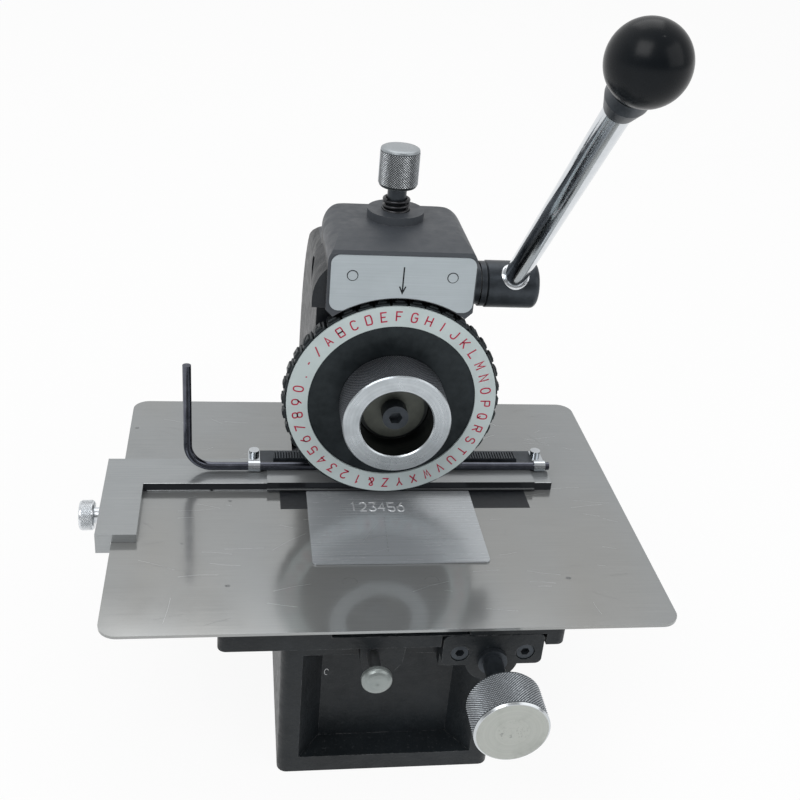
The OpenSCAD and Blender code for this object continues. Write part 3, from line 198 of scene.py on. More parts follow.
def hairlines(t, scale, width):
    """Thin wandering scratches: the places where a soft noise crosses its middle."""
    soft = t.noise(t.place(), scale, 1.5, 0.4, 0.6)
    line = t.ramp(soft, (0.5 - width, grey(0)), (0.5, grey(1)), (0.5 + width, grey(0)))
    gate = t.noise(t.place(shift=(0.3, 0.1, 0.2)), scale * 1.7, 2, 0.5)
    return t.both(line, t.map_range(gate, 0.5, 0.62, 0.0, 1.0))


def offset_from(t, axis):
    """The way from a point on an axis, in metres, and the axis's direction."""
    direction, centre = axis
    along = tuple(int(letter == direction) for letter in "xyz")
    return t.vector_math("SUBTRACT", [t.coordinates(), [v * MM for v in centre]]), along


def radius_of(t, offset, along):
    """The part of an offset that lies across a direction."""
    across = t.vector_math("MULTIPLY", [offset, [1 - v for v in along]])
    return t.vector_math("LENGTH", [across], "Value")


# Kinds of finish

def cast_paint(name, dark, light, dust, head=None):
    """Satin black paint over a sand casting: grain, soft lumps, dust on what faces up and worn edges. head
    is a lighter tone painted on the arm's head as a painted sheen; the head was also smoothed before it was
    painted, so its lumps and grain are weaker."""
    grain, lump = 0.6, 0.55
    t = Surface(name)
    at = t.place()
    lumps = t.noise(at, 170, 5, 0.6)
    colour = t.ramp(t.noise(at, 28, 4, 0.6), (0.3, dark), (0.7, light))
    specks = t.map_range(t.noise(at, 620, 3, 0.75), 0.60, 0.72, 0.0, 0.75)
    upward = t.map_range(t.split(t.normal())["Z"], 0.2, 1.0, 0.25, 1.0)
    colour = t.mix(t.both(specks, upward), colour, dust)
    if head:
        parts = t.split(at)
        right_of = t.math("GREATER_THAN", parts["X"], HEAD_LEFT * MM)
        above = t.math("GREATER_THAN", parts["Z"], HEAD_BASE * MM)
        in_head = t.math("MULTIPLY", right_of, above)
        # The head's lighter tone is a painted sheen; its weaker lumps and grain are its real smoothing.
        colour = t.mix(in_head, colour, head)
        lump = t.map_range(in_head, 0, 1, lump, lump * 0.12)
        grain = t.map_range(in_head, 0, 1, grain, grain * 0.3)
    colour = t.mix(edge_wear(t, 0.6 * MM), colour, WORN_STEEL)
    rough = t.map_range(lumps, 0.3, 0.7, 0.34, 0.54)
    relief = t.bump(t.noise(at, 900, 4, 0.65), grain, 0.22 * MM, t.bump(lumps, lump, 0.7 * MM))
    t.finish(colour, rough, 0.0, 0.3, relief)


def brushed(name, dark, light, rough, bump=0.05, spread=0.10, metal=1.0, tint=None, dark_front_reflection=None):
    """Steel with fine straight grinding marks along x and cloudy handling marks. tint is the tone of its
    wider stains. The last argument is a dark tone painted on its front faces behind y = -20 mm, as a painted
    reflection of the dark type wheel in front of them."""
    fine, stretch, clouds = 2.6, 90, 22
    t = Surface(name)
    lines = t.noise(t.place(scale=(fine / stretch, fine, fine)), 1000, 4, 0.65)
    cloudy = t.noise(t.place(), clouds, 5, 0.6)
    colour = t.ramp(lines, (0.3, dark), (0.7, light))
    colour = t.mix(t.map_range(cloudy, 0.45, 0.75, 0.0, 0.35), colour, toned(dark, 0.82))
    if tint:
        stains = t.noise(t.place(scale=(1, 0.35, 1)), 9, 3, 0.55)
        colour = t.mix(t.map_range(stains, 0.42, 0.72, 0.0, 0.7), colour, tint)
    # Front faces get a dark tone as a painted reflection.
    if dark_front_reflection:
        ahead = t.map_range(t.split(t.normal())["Y"], -0.85, -0.95, 0.0, 1.0)
        inner = t.map_range(t.split(t.place())["Y"], -21 * MM, -20 * MM, 0.0, 1.0)
        colour = t.mix(t.both(ahead, inner), colour, dark_front_reflection)
    in_lines = t.map_range(lines, 0.3, 0.7, rough, rough + spread)
    in_clouds = t.map_range(cloudy, 0.3, 0.7, -0.04, 0.08)
    rough = t.math("ADD", in_lines, in_clouds, clamp=True)
    t.finish(colour, rough, metal, relief=t.bump(lines, bump, 0.1 * MM))


def turned(name, dark, light, rough, axis, bump=0.10, metal=1.0, stain=None):
    """Metal that was turned: fine rings around an axis, with soft blotches over them. stain is the tone of
    the specks round its centre."""
    t = Surface(name)
    offset, along = offset_from(t, axis)
    radius = radius_of(t, offset, along)
    flat = {"X": radius, "Y": t.vector_math("DOT_PRODUCT", [offset, along], "Value")}
    rings = t.noise(t.add("ShaderNodeCombineXYZ", flat).outputs["Vector"], 3500, 3, 0.6)
    cloudy = t.noise(t.place(), 90, 4, 0.6)
    colour = t.ramp(rings, (0.3, dark), (0.7, light))
    colour = t.mix(t.map_range(cloudy, 0.5, 0.78, 0.0, 0.5), colour, toned(dark, 0.7))
    if stain:
        near = t.map_range(radius, 4.5 * MM, 8.5 * MM, 1.0, 0.0)
        specks = t.map_range(t.noise(t.place(), 420, 4, 0.7), 0.53, 0.62, 0.0, 0.8)
        colour = t.mix(t.both(near, specks), colour, stain)
    rough = t.map_range(cloudy, 0.3, 0.7, rough - 0.04, rough + 0.08)
    t.finish(colour, rough, metal, relief=t.bump(rings, bump, 0.08 * MM))


def knurled(name, groove, peak, rough, axis, low, high):
    """Knurled steel: dull in the grooves at radius low, bright on the worn points at radius high."""
    t = Surface(name)
    radius = radius_of(t, *offset_from(t, axis))
    speck = t.noise(t.place(), 900, 3, 0.7)
    colour = t.ramp(t.map_range(radius, low * MM, high * MM, 0.0, 1.0), (0.25, groove), (0.85, peak))
    colour = t.mix(t.map_range(speck, 0.5, 0.7, 0.0, 0.6), colour, groove)
    t.finish(colour, t.map_range(speck, 0.3, 0.7, rough, rough + 0.12), 0.85)


def plain(name, dark, light, rough, metal=1.0, blotch=150, bump=0.05, specular=0.5, worn=None,
          scratched=False):
    """A surface with soft blotches, fine grain and a little wear in its gloss. worn is the tone of its worn
    edges."""
    t = Surface(name)
    at = t.place()
    blotches = t.noise(at, blotch, 5, 0.6)
    colour = t.ramp(blotches, (0.3, dark), (0.72, light))
    if worn:
        colour = t.mix(edge_wear(t, 0.4 * MM), colour, worn)
    if scratched:
        colour = t.mix(hairlines(t, 90, 0.006), colour, toned(light, 1.9))
    rough = t.map_range(blotches, 0.3, 0.7, rough - 0.04, rough + 0.07)
    relief = t.bump(t.noise(at, 2200, 2, 0.5), bump, 0.05 * MM)
    t.finish(colour, rough, metal, specular, relief)


# The materials: paint and castings
cast_paint("black_paint", (0.008, 0.0105, 0.0125), (0.015, 0.019, 0.0225), dust=(0.07, 0.075, 0.08))
# The arm's head gets a lighter tone as a painted sheen.
cast_paint("arm_paint", (0.009, 0.0115, 0.0145), (0.018, 0.0215, 0.026), dust=(0.11, 0.115, 0.12),
           head=(0.058, 0.065, 0.075))

# Sheets and bars
brushed("ground_steel", (0.26, 0.27, 0.28), (0.40, 0.41, 0.42), 0.32)
brushed("table_steel", (0.31, 0.325, 0.33), (0.37, 0.385, 0.39), 0.09, bump=0.012, spread=0.05, metal=0.6,
        tint=(0.335, 0.325, 0.30))
# The dark tone on the front faces is a painted reflection.
brushed("polished_steel", (0.32, 0.34, 0.35), (0.40, 0.42, 0.43), 0.12, bump=0.015, metal=0.6,
        tint=(0.30, 0.31, 0.31), dark_front_reflection=(0.034, 0.037, 0.042))
brushed("blank_metal", (0.37, 0.40, 0.43), (0.45, 0.48, 0.51), 0.17, bump=0.02, metal=0.45,
        tint=(0.52, 0.54, 0.55))
brushed("label_plate", (0.41, 0.46, 0.49), (0.48, 0.535, 0.565), 0.45, bump=0.03, metal=0.35)

# Turned and knurled faces
turned("cup_bore", (0.045, 0.050, 0.050), (0.085, 0.092, 0.092), 0.34, WHEEL_AXIS)
turned("cup_face", (0.42, 0.46, 0.49), (0.60, 0.64, 0.67), 0.27, WHEEL_AXIS, metal=0.85)
turned("rim_bright", (0.52, 0.55, 0.57), (0.66, 0.69, 0.71), 0.2, FEED_AXIS, bump=0.05)
turned("feed_face", (0.40, 0.42, 0.395), (0.47, 0.49, 0.46), 0.55, FEED_AXIS, bump=0.05, metal=0.15,
       stain=(0.20, 0.21, 0.20))
turned("depth_face", (0.30, 0.33, 0.35), (0.40, 0.43, 0.45), 0.34, DEPTH_AXIS, metal=0.7)
knurled("knurl_dark", (0.03, 0.033, 0.038), (0.24, 0.255, 0.28), 0.34, WHEEL_AXIS, low=26.6, high=27.0)
knurled("knurl_light", (0.095, 0.105, 0.116), (0.50, 0.53, 0.56), 0.4, FEED_AXIS, low=17.12, high=17.55)
knurled("knurl_mid", (0.07, 0.077, 0.082), (0.72, 0.75, 0.78), 0.3, DEPTH_AXIS, low=9.5, high=9.95)
knurled("knurl_thumb", (0.66, 0.69, 0.72), (0.95, 0.97, 0.98), 0.24, THUMB_AXIS, low=7.40, high=7.80)

# Plain metals, from dark to bright
plain("type_steel", (0.016, 0.021, 0.024), (0.034, 0.042, 0.047), 0.38, metal=0.7, worn=(0.13, 0.135, 0.14))
plain("black_steel", (0.028, 0.034, 0.041), (0.056, 0.066, 0.078), 0.36, metal=0.6, worn=WORN_STEEL)
plain("spring_steel", (0.035, 0.036, 0.040), (0.08, 0.08, 0.085), 0.34)
plain("dark_chrome", (0.075, 0.08, 0.10), (0.13, 0.137, 0.165), 0.14)
plain("bronze", (0.085, 0.092, 0.082), (0.14, 0.148, 0.132), 0.42, metal=0.8)
plain("soft_chrome", (0.25, 0.28, 0.275), (0.33, 0.36, 0.355), 0.36, metal=0.7, blotch=90)
plain("aluminium", (0.36, 0.38, 0.39), (0.48, 0.50, 0.51), 0.34)
plain("chrome", (0.50, 0.53, 0.56), (0.62, 0.65, 0.68), 0.09, scratched=True)
plain("rod_chrome", (0.60, 0.63, 0.66), (0.70, 0.73, 0.76), 0.10, bump=0.01)
plain("thumb_chrome", (0.66, 0.69, 0.72), (0.78, 0.81, 0.84), 0.2, metal=0.85)

# Marks on the metal: raised figures, painted edge highlights, scratches and stains
plain("figure_metal", (0.62, 0.65, 0.68), (0.78, 0.80, 0.82), 0.3, metal=0.5, blotch=600)
# A light tone for the painted highlights on the guide's edges.
plain("painted_edge_highlight", (0.62, 0.65, 0.67), (0.84, 0.87, 0.89), 0.4, metal=0.3, blotch=300)
plain("scratch_light", (0.42, 0.43, 0.44), (0.52, 0.53, 0.54), 0.3, metal=0.8, blotch=900)
plain("mark_grey", (0.07, 0.075, 0.08), (0.15, 0.155, 0.16), 0.4, metal=0.5, blotch=900, bump=0.1)

# Enamel, ink, a black sheet for a painted reflection, and plastic
plain("ring_enamel", (0.48, 0.55, 0.555), (0.54, 0.615, 0.62), 0.42, metal=0.0, blotch=60, bump=0.04,
      specular=0.3)
plain("letter_red", (0.34, 0.016, 0.045), (0.50, 0.035, 0.085), 0.5, metal=0.0, blotch=700, specular=0.2)
plain("line_black", (0.010, 0.011, 0.014), (0.022, 0.024, 0.028), 0.5, metal=0.0, blotch=500, specular=0.2)
# A black tone for the painted reflection on the table.
plain("reflection_black", (0.012, 0.014, 0.017), (0.026, 0.029, 0.033), 0.5, metal=0.0, blotch=420, bump=0.2,
      specular=0.3)
plain("black_ball", (0.003, 0.0045, 0.006), (0.0065, 0.0085, 0.011), 0.24, metal=0.0, blotch=40, bump=0.02,
      specular=0.16)

# The CAD nodes take their slot's material, apart from these
OWN_FINISH = {
    "frame_arm": "arm_paint",
    "pointer_rivets": "label_plate",
    "pointer_plate": "label_plate",
    "plunger_knob": "soft_chrome",
    "clamp_rod": "dark_chrome",
    "feed_screw": "black_steel",
    "lever_rod": "rod_chrome",
}
for part in frame["record"]["subparts"]:
    slots = NODES[part["node"]].data.materials
    slots.clear()
    slots.append(MATERIALS[OWN_FINISH.get(part["node"], part["material_slot"])])


# Building pieces

# Strokes of the plain characters on a field 4 wide and 6 high: two figures to a point, | between strokes.
# A stroke that starts with ~ is rounded, and one that starts with @ is rounded and closed.
STROKES = {
    "A": "00 26 40|12 32", "B": "00 06|~06 36 46 43 33 03|~03 33 43 40 30 00",
    "C": "~45 36 16 05 01 10 30 41", "D": "00 06|~06 26 46 40 20 00", "E": "46 06 00 40|03 33",
    "F": "46 06 00|03 33", "G": "~45 36 16 05 01 10 30 41|41 43 23", "H": "00 06|40 46|03 43", "I": "20 26",
    "J": "~46 41 30 10 01 02", "K": "00 06|46 02|13 40", "L": "06 00 40", "M": "00 06 22 46 40",
    "N": "00 06 40 46", "O": "@06 46 40 00", "P": "00 06|~06 36 46 43 33 03", "Q": "@06 46 40 00|22 40",
    "R": "00 06|~06 36 46 43 33 03|23 40", "S": "~45 36 16 05 04 13 33 42 41 30 10 01", "T": "06 46|26 20",
    "U": "06 02|~02 01 10 30 41 42|42 46", "V": "06 20 46", "W": "06 10 24 30 46", "X": "00 46|06 40",
    "Y": "06 23 46|23 20", "Z": "06 46 00 40", "&": "~40 05 16 26 35 02 10 20 42", "1": "15 26 20",
    "2": "~05 16 36 45 43 00|00 40", "3": "06 46 23|~23 33 42 41 30 10 01", "4": "30 36 02 42",
    "5": "46 06 03|~03 33 43 40 10 01", "6": "36 03|@04 44 40 00", "7": "06 46 10",
    "8": "@06 46 43 03|@03 43 40 00", "9": "@06 46 42 02|43 10", "0": "@06 46 40 00", ".": "20 21",
    "-": "13 33", "/": "00 46",
}


def strokes(char):
    """The character's strokes as lists of points on a field from -0.5 to 0.5, with True for a closed one."""
    found = []
    for stroke in STROKES[char].split("|"):
        closed, rounded = stroke[0] == "@", stroke[0] in "@~"
        points = [Vector((int(p[0]) / 4 - 0.5, int(p[1]) / 6 - 0.5)) for p in stroke.lstrip("@~").split()]
        for _ in range(2 if rounded else 0):
            sides = zip(points, points[1:] + (points[:1] if closed else []))
            cut = [q for a, b in sides for q in (a.lerp(b, 0.25), a.lerp(b, 0.75))]
            points = cut if closed else [points[0], *cut, points[-1]]
        found.append((points, closed))
    return found


def circle(radius, count):
    """Points round a circle, as pairs."""
    angles = [2 * math.pi * i / count for i in range(count)]
    return [(radius * math.cos(a), radius * math.sin(a)) for a in angles]


def level(z, x0=0, y0=0):
    """Places a flat drawing (u, w, height) on a level surface."""
    return lambda u, w, height: (x0 + u, y0 + w, z + height)


def front(y):
    """Places a flat drawing (u, w, height) on an upright surface that faces the front."""
    return lambda u, w, height: (u, y - height, w)


class Shape:
    """The points and faces of a piece, in millimetres, and where it has several materials, the number of
    each face's material."""

    def __init__(self):
        self.points, self.faces, self.marks = [], [], []

    def rings(self, rings, closed=False):
        """Joins rings of points, all of one count, each to the next. A closed row also joins its last ring
        to its first, and an open one has a face over each end."""
        base, n = len(self.points), len(rings[0])
        starts = [base + n * k for k in range(len(rings))]
        for ring in rings:
            self.points += ring
        for a, b in zip(starts, starts[1:] + (starts[:1] if closed else [])):
            self.faces += [(a + i, a + (i + 1) % n, b + (i + 1) % n, b + i) for i in range(n)]
        if not closed:
            self.faces += [tuple(range(a, a + n)) for a in (starts[0], starts[-1])]

    def band(self, points, width, height, place, closed=False, top=1.0):
        """A raised band along a line, mitred at its corners. place turns (u, w, height) into a point, and
        top is the width of its top as a share of the width of its foot."""
        sink, tightest = 0.05, 0.45
        points = [Vector(p) for p in points]
        starts = []
        for i, p in enumerate(points):
            before = points[i - 1] if closed or i else None
            after = points[(i + 1) % len(points)] if closed or i < len(points) - 1 else None
            way_in = (p - before).normalized() if before is not None else (after - p).normalized()
            way_out = (after - p).normalized() if after is not None else way_in
            normal = Vector((-way_in.y, way_in.x))
            middle = way_in + way_out
            middle = middle.normalized() if middle.length > 1e-4 else normal
            side = Vector((-middle.y, middle.x))
            half = side * (width / 2 / max(tightest, side.dot(normal)))
            starts.append(len(self.points))
            for share, rise in ((1, -sink), (-1, -sink), (-top, height), (top, height)):
                q = p + half * share
                self.points.append(place(q.x, q.y, rise))
        for a, b in zip(starts, starts[1:] + (starts[:1] if closed else [])):
            self.faces += [(a + k, b + k, b + (k + 1) % 4, a + (k + 1) % 4) for k in range(4)]
        if not closed:
            self.faces += [tuple(range(a, a + 4)) for a in (starts[0], starts[-1])]

    def letter(self, char, size, stroke, height, place, top=1.0):
        """A raised character of a width and height."""
        for points, closed in strokes(char):
            points = [(p.x * size[0], p.y * size[1]) for p in points]
            self.band(points, stroke, height, place, closed, top)


def piece(name, shape, body, materials, replaces=(), sharp=28):
    """A closed mesh that rides on a body, smooth where its faces meet at less than the sharp angle."""
    mesh = bpy.data.meshes.new(name)
    mesh.from_pydata([[c * MM for c in p] for p in shape.points], [], shape.faces)
    for material in materials:
        mesh.materials.append(MATERIALS[material])
    for face, mark in zip(mesh.polygons, shape.marks):
        face.material_index = mark
    bm = bmesh.new()
    bm.from_mesh(mesh)
    bmesh.ops.recalc_face_normals(bm, faces=bm.faces)
    for face in bm.faces:
        face.smooth = True
    for edge in bm.edges:
        edge.smooth = len(edge.link_faces) == 2 and edge.calc_face_angle(0) < math.radians(sharp)
    bm.to_mesh(mesh)
    bm.free()
    o = bpy.data.objects.new(name, mesh)
    scene.collection.objects.link(o)
    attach(o, body)
    if replaces:
        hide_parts(*replaces)


def lathe(name, axis, profile, body, materials, replaces, n, knurl):
    """Turns a profile of (radius, place, material number) rows round an axis. knurl is the row after which a
    diamond knurl starts, its number of half rows and its depth: crossing grooves with pyramids between."""
    first, half_rows, depth = knurl
    rows, marks = [], []
    for k, (r, place, mark) in enumerate(profile):
        rows.append([(r, place)] * n if r else [(0, place)])
        marks.append(mark)
        for j in range(1, half_rows if k == first else 0):
            between = place + (profile[k + 1][1] - place) * (j / half_rows)
            rows.append([(r + (depth if (i + j) % 2 else 0), between) for i in range(n)])
            marks.append(mark)

    shape = Shape()
    direction, (x, y, z) = axis
    starts = []
    for row in rows:
        starts.append(len(shape.points))
        for i, (r, place) in enumerate(row):
            a = 2 * math.pi * i / n
            c, s = r * math.cos(a), r * math.sin(a)
            points = {"x": (place, y + c, z + s), "y": (x + c, place, z + s), "z": (x + c, y + s, place)}
            shape.points.append(points[direction])

    hollow = profile[0][0] and profile[-1][0]
    for a in range(len(rows) if hollow else len(rows) - 1):
        b = (a + 1) % len(rows)
        for i in range(n):
            following = (i + 1) % n
            p, q, q2, p2 = starts[a] + i, starts[b] + i, starts[b] + following, starts[a] + following
            if len(rows[a]) == 1:
                faces = [(starts[a], q, q2)]
            elif len(rows[b]) == 1:
                faces = [(p, starts[b], p2)]
            elif not first <= a < first + half_rows:
                faces = [(p, q, q2, p2)]
            elif (i + a - first) % 2:
                faces = [(p, q, p2), (q, q2, p2)]
            else:
                faces = [(p, q, q2), (p, q2, p2)]
            shape.faces += faces
            shape.marks += [marks[a]] * len(faces)
    piece(name, shape, body, materials, replaces)


def spring(name, coils, replaces):
    """Wire coils on upright axes, each (x, y, low, high, radius, wire radius, turns). Their end turns lie
    flat."""
    sides, per_turn, flat = 10, 28, 0.8
    shape = Shape()
    for x, y, low, high, radius, wire, turns in coils:
        count = int(turns * per_turn)
        rings = []
        for i in range(count + 1):
            turn = turns * (i / count)
            lift = min(max((turn - flat) / (turns - 2 * flat), 0), 1)
            z = low + wire + (high - low - 2 * wire) * lift
            a = 2 * math.pi * turn
            rings.append([(x + (radius + out) * math.cos(a), y + (radius + out) * math.sin(a), z + up)
                          for out, up in circle(wire, sides)])
        shape.rings(rings)
    piece(name, shape, "frame", ["spring_steel"], replaces, sharp=50)


# The pieces, from the wheel to the table

def wheel_cup():
    """The cup: a fine knurl round it, a bright chamfer, a turned rim and a bored inside."""
    outer, bore, arbor = 26.6, 18.2, 6.1
    back, bottom, rim = -4.0, -9.5, -27.0
    side, face, inside = range(3)
    lathe("wheel_cup", WHEEL_AXIS, [
        (arbor, bottom, face), (arbor, back, side), (outer - 0.4, back, side), (outer, back - 0.5, side),
        (outer, rim + 1.1, face), (outer + 0.3, rim + 0.9, face), (outer + 0.3, rim + 0.6, face),
        (outer - 0.3, rim, face), (bore + 0.6, rim, face), (bore, rim + 0.6, inside),
        (bore, bottom - 0.5, inside), (bore - 0.4, bottom, inside),
    ], "type_wheel", ["knurl_dark", "cup_face", "cup_bore"], ["wheel_knob"], n=280,
        knurl=(3, 26, 0.4))


def feed_wheel():
    """The big feed knob: a coarser knurl between bright chamfers, and a matt turned face."""
    outer, bore = 17.15, 4.97
    face, back, bottom = -144.2, -122.2, -131.4
    side, matt, bright = range(3)
    lathe("feed_wheel", FEED_AXIS, [
        (0, face, matt), (2.0, face + 0.05, matt), (outer - 0.65, face, bright),
        (outer - 0.4, face + 0.05, bright), (outer + 0.35, face + 0.9, bright), (outer, face + 1.4, side),
        (outer, back - 2.2, side), (outer - 0.75, back - 1.0, bright), (outer - 2.15, back, bright),
        (bore, back, matt), (bore, bottom, matt), (0, bottom, matt),
    ], "feed", ["knurl_light", "feed_face", "rim_bright"], ["feed_knob"], n=160,
        knurl=(5, 28, 0.45))


def depth_wheel():
    """The depth knob: a fine knurl under a smooth, slightly domed top."""
    outer, bore = 9.55, 4.86
    top, base, socket = 292.3, 272.8, 283.0
    side, face = range(2)
    lathe("depth_wheel", DEPTH_AXIS, [
        (0, top, face), (6.0, top - 0.05, face), (outer - 0.75, top - 0.2, face),
        (outer - 0.05, top - 0.6, face), (outer + 0.25, top - 1.4, face), (outer, top - 1.8, side),
        (outer, base + 1.1, side), (outer - 0.25, base + 0.4, face), (outer - 0.65, base, face),
        (bore, base, face), (bore, socket, face), (0, socket, face),
    ], "depth_adjuster", ["knurl_mid", "depth_face"], ["depth_knob"], n=96, knurl=(5, 28, 0.42))


def thumb_wheel():
    """The guide's thumb screw: a knurled head, a collar and a plain shank with a chamfered tip."""
    outer, collar, shank = 7.42, 4.0, 2.5
    end, head, step, tip = -152.8, -145.4, -143.1, -135.3
    smooth, side = range(2)
    lathe("thumb_wheel", THUMB_AXIS, [
        (0, end, smooth), (outer - 0.82, end, smooth), (outer - 0.22, end + 0.3, smooth),
        (outer, end + 0.9, side), (outer, head - 0.8, smooth), (outer - 0.42, head - 0.2, smooth),
        (outer - 0.82, head, smooth), (collar, head, smooth), (collar, step, smooth), (shank, step, smooth),
        (shank, tip - 0.5, smooth), (shank - 0.4, tip, smooth), (0, tip, smooth),
    ], "guide_lock", ["thumb_chrome", "knurl_thumb"], ["thumb_screw"], n=64, knurl=(3, 10, 0.42))


def rod_seat():
    """The bright countersunk seat of the lever rod: a bead on the round side of the hub."""
    hub, hub_radius, lean = (68.0, 39.3, 220.2), 12.4, math.radians(44.4)
    section = ((6.05, -0.35), (6.05, 0.22), (6.75, 0.30), (7.35, 0.02), (7.35, -0.35))
    count = 72

    def on_hub(a, radius, height):
        across, side = radius * math.cos(a), radius * math.sin(a)
        out = math.sqrt(hub_radius ** 2 - side ** 2) + height
        return (hub[0] + across, hub[1] + side * math.cos(lean) - out * math.sin(lean),
                hub[2] + side * math.sin(lean) + out * math.cos(lean))

    shape = Shape()
    turns = [2 * math.pi * i / count for i in range(count)]
    shape.rings([[on_hub(a, radius, height) for radius, height in section] for a in turns], closed=True)
    piece("rod_seat", shape, "lever", ["thumb_chrome"])


def springs():
    """The springs that show: round the depth screw, and the two behind the wheel with their cross pins."""
    _, (x, y, _) = DEPTH_AXIS
    spring("depth_coil", [(x, y, 259.85, 266.8, 6.1, 0.9, 3.6)], ["depth_spring"])
    spring("return_coils", [(x, RETURN_SPRINGS_Y, 196.0, 234.0, 2.8, 0.78, 17.5) for x in RETURN_SPRINGS_X],
           ["return_springs"])
    pin_z, pin_reach, pin_radius = 234.8, 5.8, 0.98
    pins = Shape()
    for x in RETURN_SPRINGS_X:
        pins.rings([[(end, RETURN_SPRINGS_Y + u, pin_z + w) for u, w in circle(pin_radius, 16)]
                    for end in (x - pin_reach, x + pin_reach)])
    piece("return_pins", pins, "frame", ["spring_steel"], ["return_springs"])


def on_wheel(turn, across, radius, y):
    """A point of the type wheel: to the side of a spoke that is turned clockwise from the top, and out
    along it."""
    out = Vector((math.sin(turn), math.cos(turn)))
    side = Vector((math.cos(turn), -math.sin(turn)))
    p = side * across + out * radius
    return (WHEEL_X + p.x, y, WHEEL_Z + p.y)


def type_ring():
    """The type blocks and the characters on them and on the light ring, tops outward and clockwise. A block
    is a chamfered wedge with a raised pad that carries its character."""
    dial = "FGHIJKLMNOPQRSTUVWXYZ&1234567890.-/ABCDE"
    letter_radius, pad_radius, shoulder = 48.2, 55.6, 51
    wedge = ((-3.1, 47.2), (3.1, 47.2), (3.8, 54.1), (3.4, 54.6), (-3.4, 54.6), (-3.8, 54.1))
    pad = ((-2.2, -2.8), (2.2, -2.8), (2.2, 2.8), (-2.2, 2.8))
    dial_letters, type_faces, blocks = Shape(), Shape(), Shape()

    def drawn_in(radius, k):
        return shoulder + (radius - shoulder) * k if radius > shoulder else radius

    for i, char in enumerate(dial):
        turn = 2 * math.pi * i / len(dial)
        blocks.rings([[on_wheel(turn, u * k, drawn_in(radius, k), y) for u, radius in wedge]
                      for y, k in ((-4.0, 0.94), (-3.6, 1.0), (3.6, 1.0), (4.0, 0.94))])
        blocks.rings([[on_wheel(turn, u * k, pad_radius + rise, w * k) for u, w in pad]
                      for rise, k in ((-1.4, 1.0), (-0.35, 1.0), (0.0, 0.86))])

        def on_ring(u, w, height):
            return on_wheel(turn, u, letter_radius + w, RING_FACE - height)

        def on_pad(u, w, height):
            return on_wheel(turn, u, pad_radius + height, w)

        dial_letters.letter(char, size=(2.9, 4.9), stroke=0.72, height=0.05, place=on_ring)
        type_faces.letter(char, size=(2.4, 3.6), stroke=0.5, height=0.25, place=on_pad, top=0.6)
    piece("dial_letters", dial_letters, "type_wheel", ["letter_red"])
    piece("type_faces", type_faces, "type_wheel", ["type_steel"])
    piece("type_ring", blocks, "type_wheel", ["type_steel"], ["type_blocks"])


def plate_arrow_and_rivet_shade():
    """The arrow on the pointer plate, and a dark ring of painted shade round each of its two rivets."""
    tail, tip, left_barb, right_barb = (3.6, 246.4), (3.5, 232.9), (2.0, 236.4), (5.0, 236.4)
    rivets_x, rivets_z = (WHEEL_X - 24.2, WHEEL_X + 24.2), 241.5
    inner, outer, foot, top = 2.25, 2.75, -5.25, -5.36
    shape = Shape()
    for line in ((tail, tip), (left_barb, tip, right_barb)):
        shape.band(line, width=0.72, height=0.05, place=front(PLATE_FACE))
    # Dark rings round the rivet heads: painted shade for the gap round each head.
    section = ((inner, foot), (outer, foot), (outer, top), (inner, top))
    for x in rivets_x:
        rings = [[(x + u, y, rivets_z + w) for u, w in circle(radius, 40)] for radius, y in section]
        shape.rings(rings, closed=True)
    piece("plate_arrow_and_rivet_shade", shape, "frame", ["line_black"])


def blank_marks():
    """Embossed figures and faint scribed lines on the sign blank: a dashed one down it and three across."""
    figures, lines = Shape(), Shape()
    for i, char in enumerate("123456"):
        spot = level(BLANK_TOP, -12.9 + 5.0 * i, -8.3 - 0.1 * i)
        figures.letter(char, size=(3.4, 7.6), stroke=1.0, height=0.3, place=spot, top=0.5)
    piece("blank_figures", figures, "blank", ["figure_metal"])
    for k in range(10):
        x, y = 2.4 - 0.13 * k, -18.0 - 3.1 * k
        lines.band(((x, y), (x - 0.07, y - 1.9)), width=0.16, height=0.012, place=level(BLANK_TOP))
    for y, x0, x1 in ((-24.0, -30.0, -6.0), (-37.5, 12.0, 44.0), (-50.5, -26.0, 30.0)):
        lines.band(((x0, y), (x1, y - 0.4)), width=0.14, height=0.012, place=level(BLANK_TOP))
    piece("blank_lines", lines, "blank", ["mark_grey"])


def table_reflection_sheet():
    """A thin black sheet let into the table under the wheel and the guide's front edge: a painted reflection
    of the dark type wheel and guide in the table.
    """
    left, right, near, far = -51.3, 83.3, -8.8, 8.2

    def outline(z, inset):
        x0, x1, y0, y1 = left + inset, right - inset, near + inset, far - inset
        return [(x0, y0, z), (x1, y0, z), (x1, y1, z), (x0, y1, z)]

    shape = Shape()
    shape.rings([outline(TABLE_TOP - 0.1, 0), outline(TABLE_TOP + 0.06, 0), outline(TABLE_TOP + 0.09, 0.4)])
    piece("table_reflection_sheet", shape, "table", ["reflection_black"])


def guide_edge_highlights():
    """Painted highlights along the top and bottom edges of the guide's front face."""
    guide_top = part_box("guide_plate")[1][2] / MM
    face, foot = 8.4, 110.5
    shape = Shape()
    for x0, x1 in ((-122.5, -60.0), (-58.0, 98.6)):
        line = ((x0, face + 0.32), (x1, face + 0.32))
        shape.band(line, width=0.42, height=0.014, place=level(guide_top))
    for x0, x1 in ((-121.0, -88.0), (-86.5, 20.0), (23.0, 76.0)):
        shape.band(((x0, foot), (x1, foot)), width=0.3, height=0.014, place=front(face))
    piece("guide_edge_highlights", shape, "guide", ["painted_edge_highlight"])


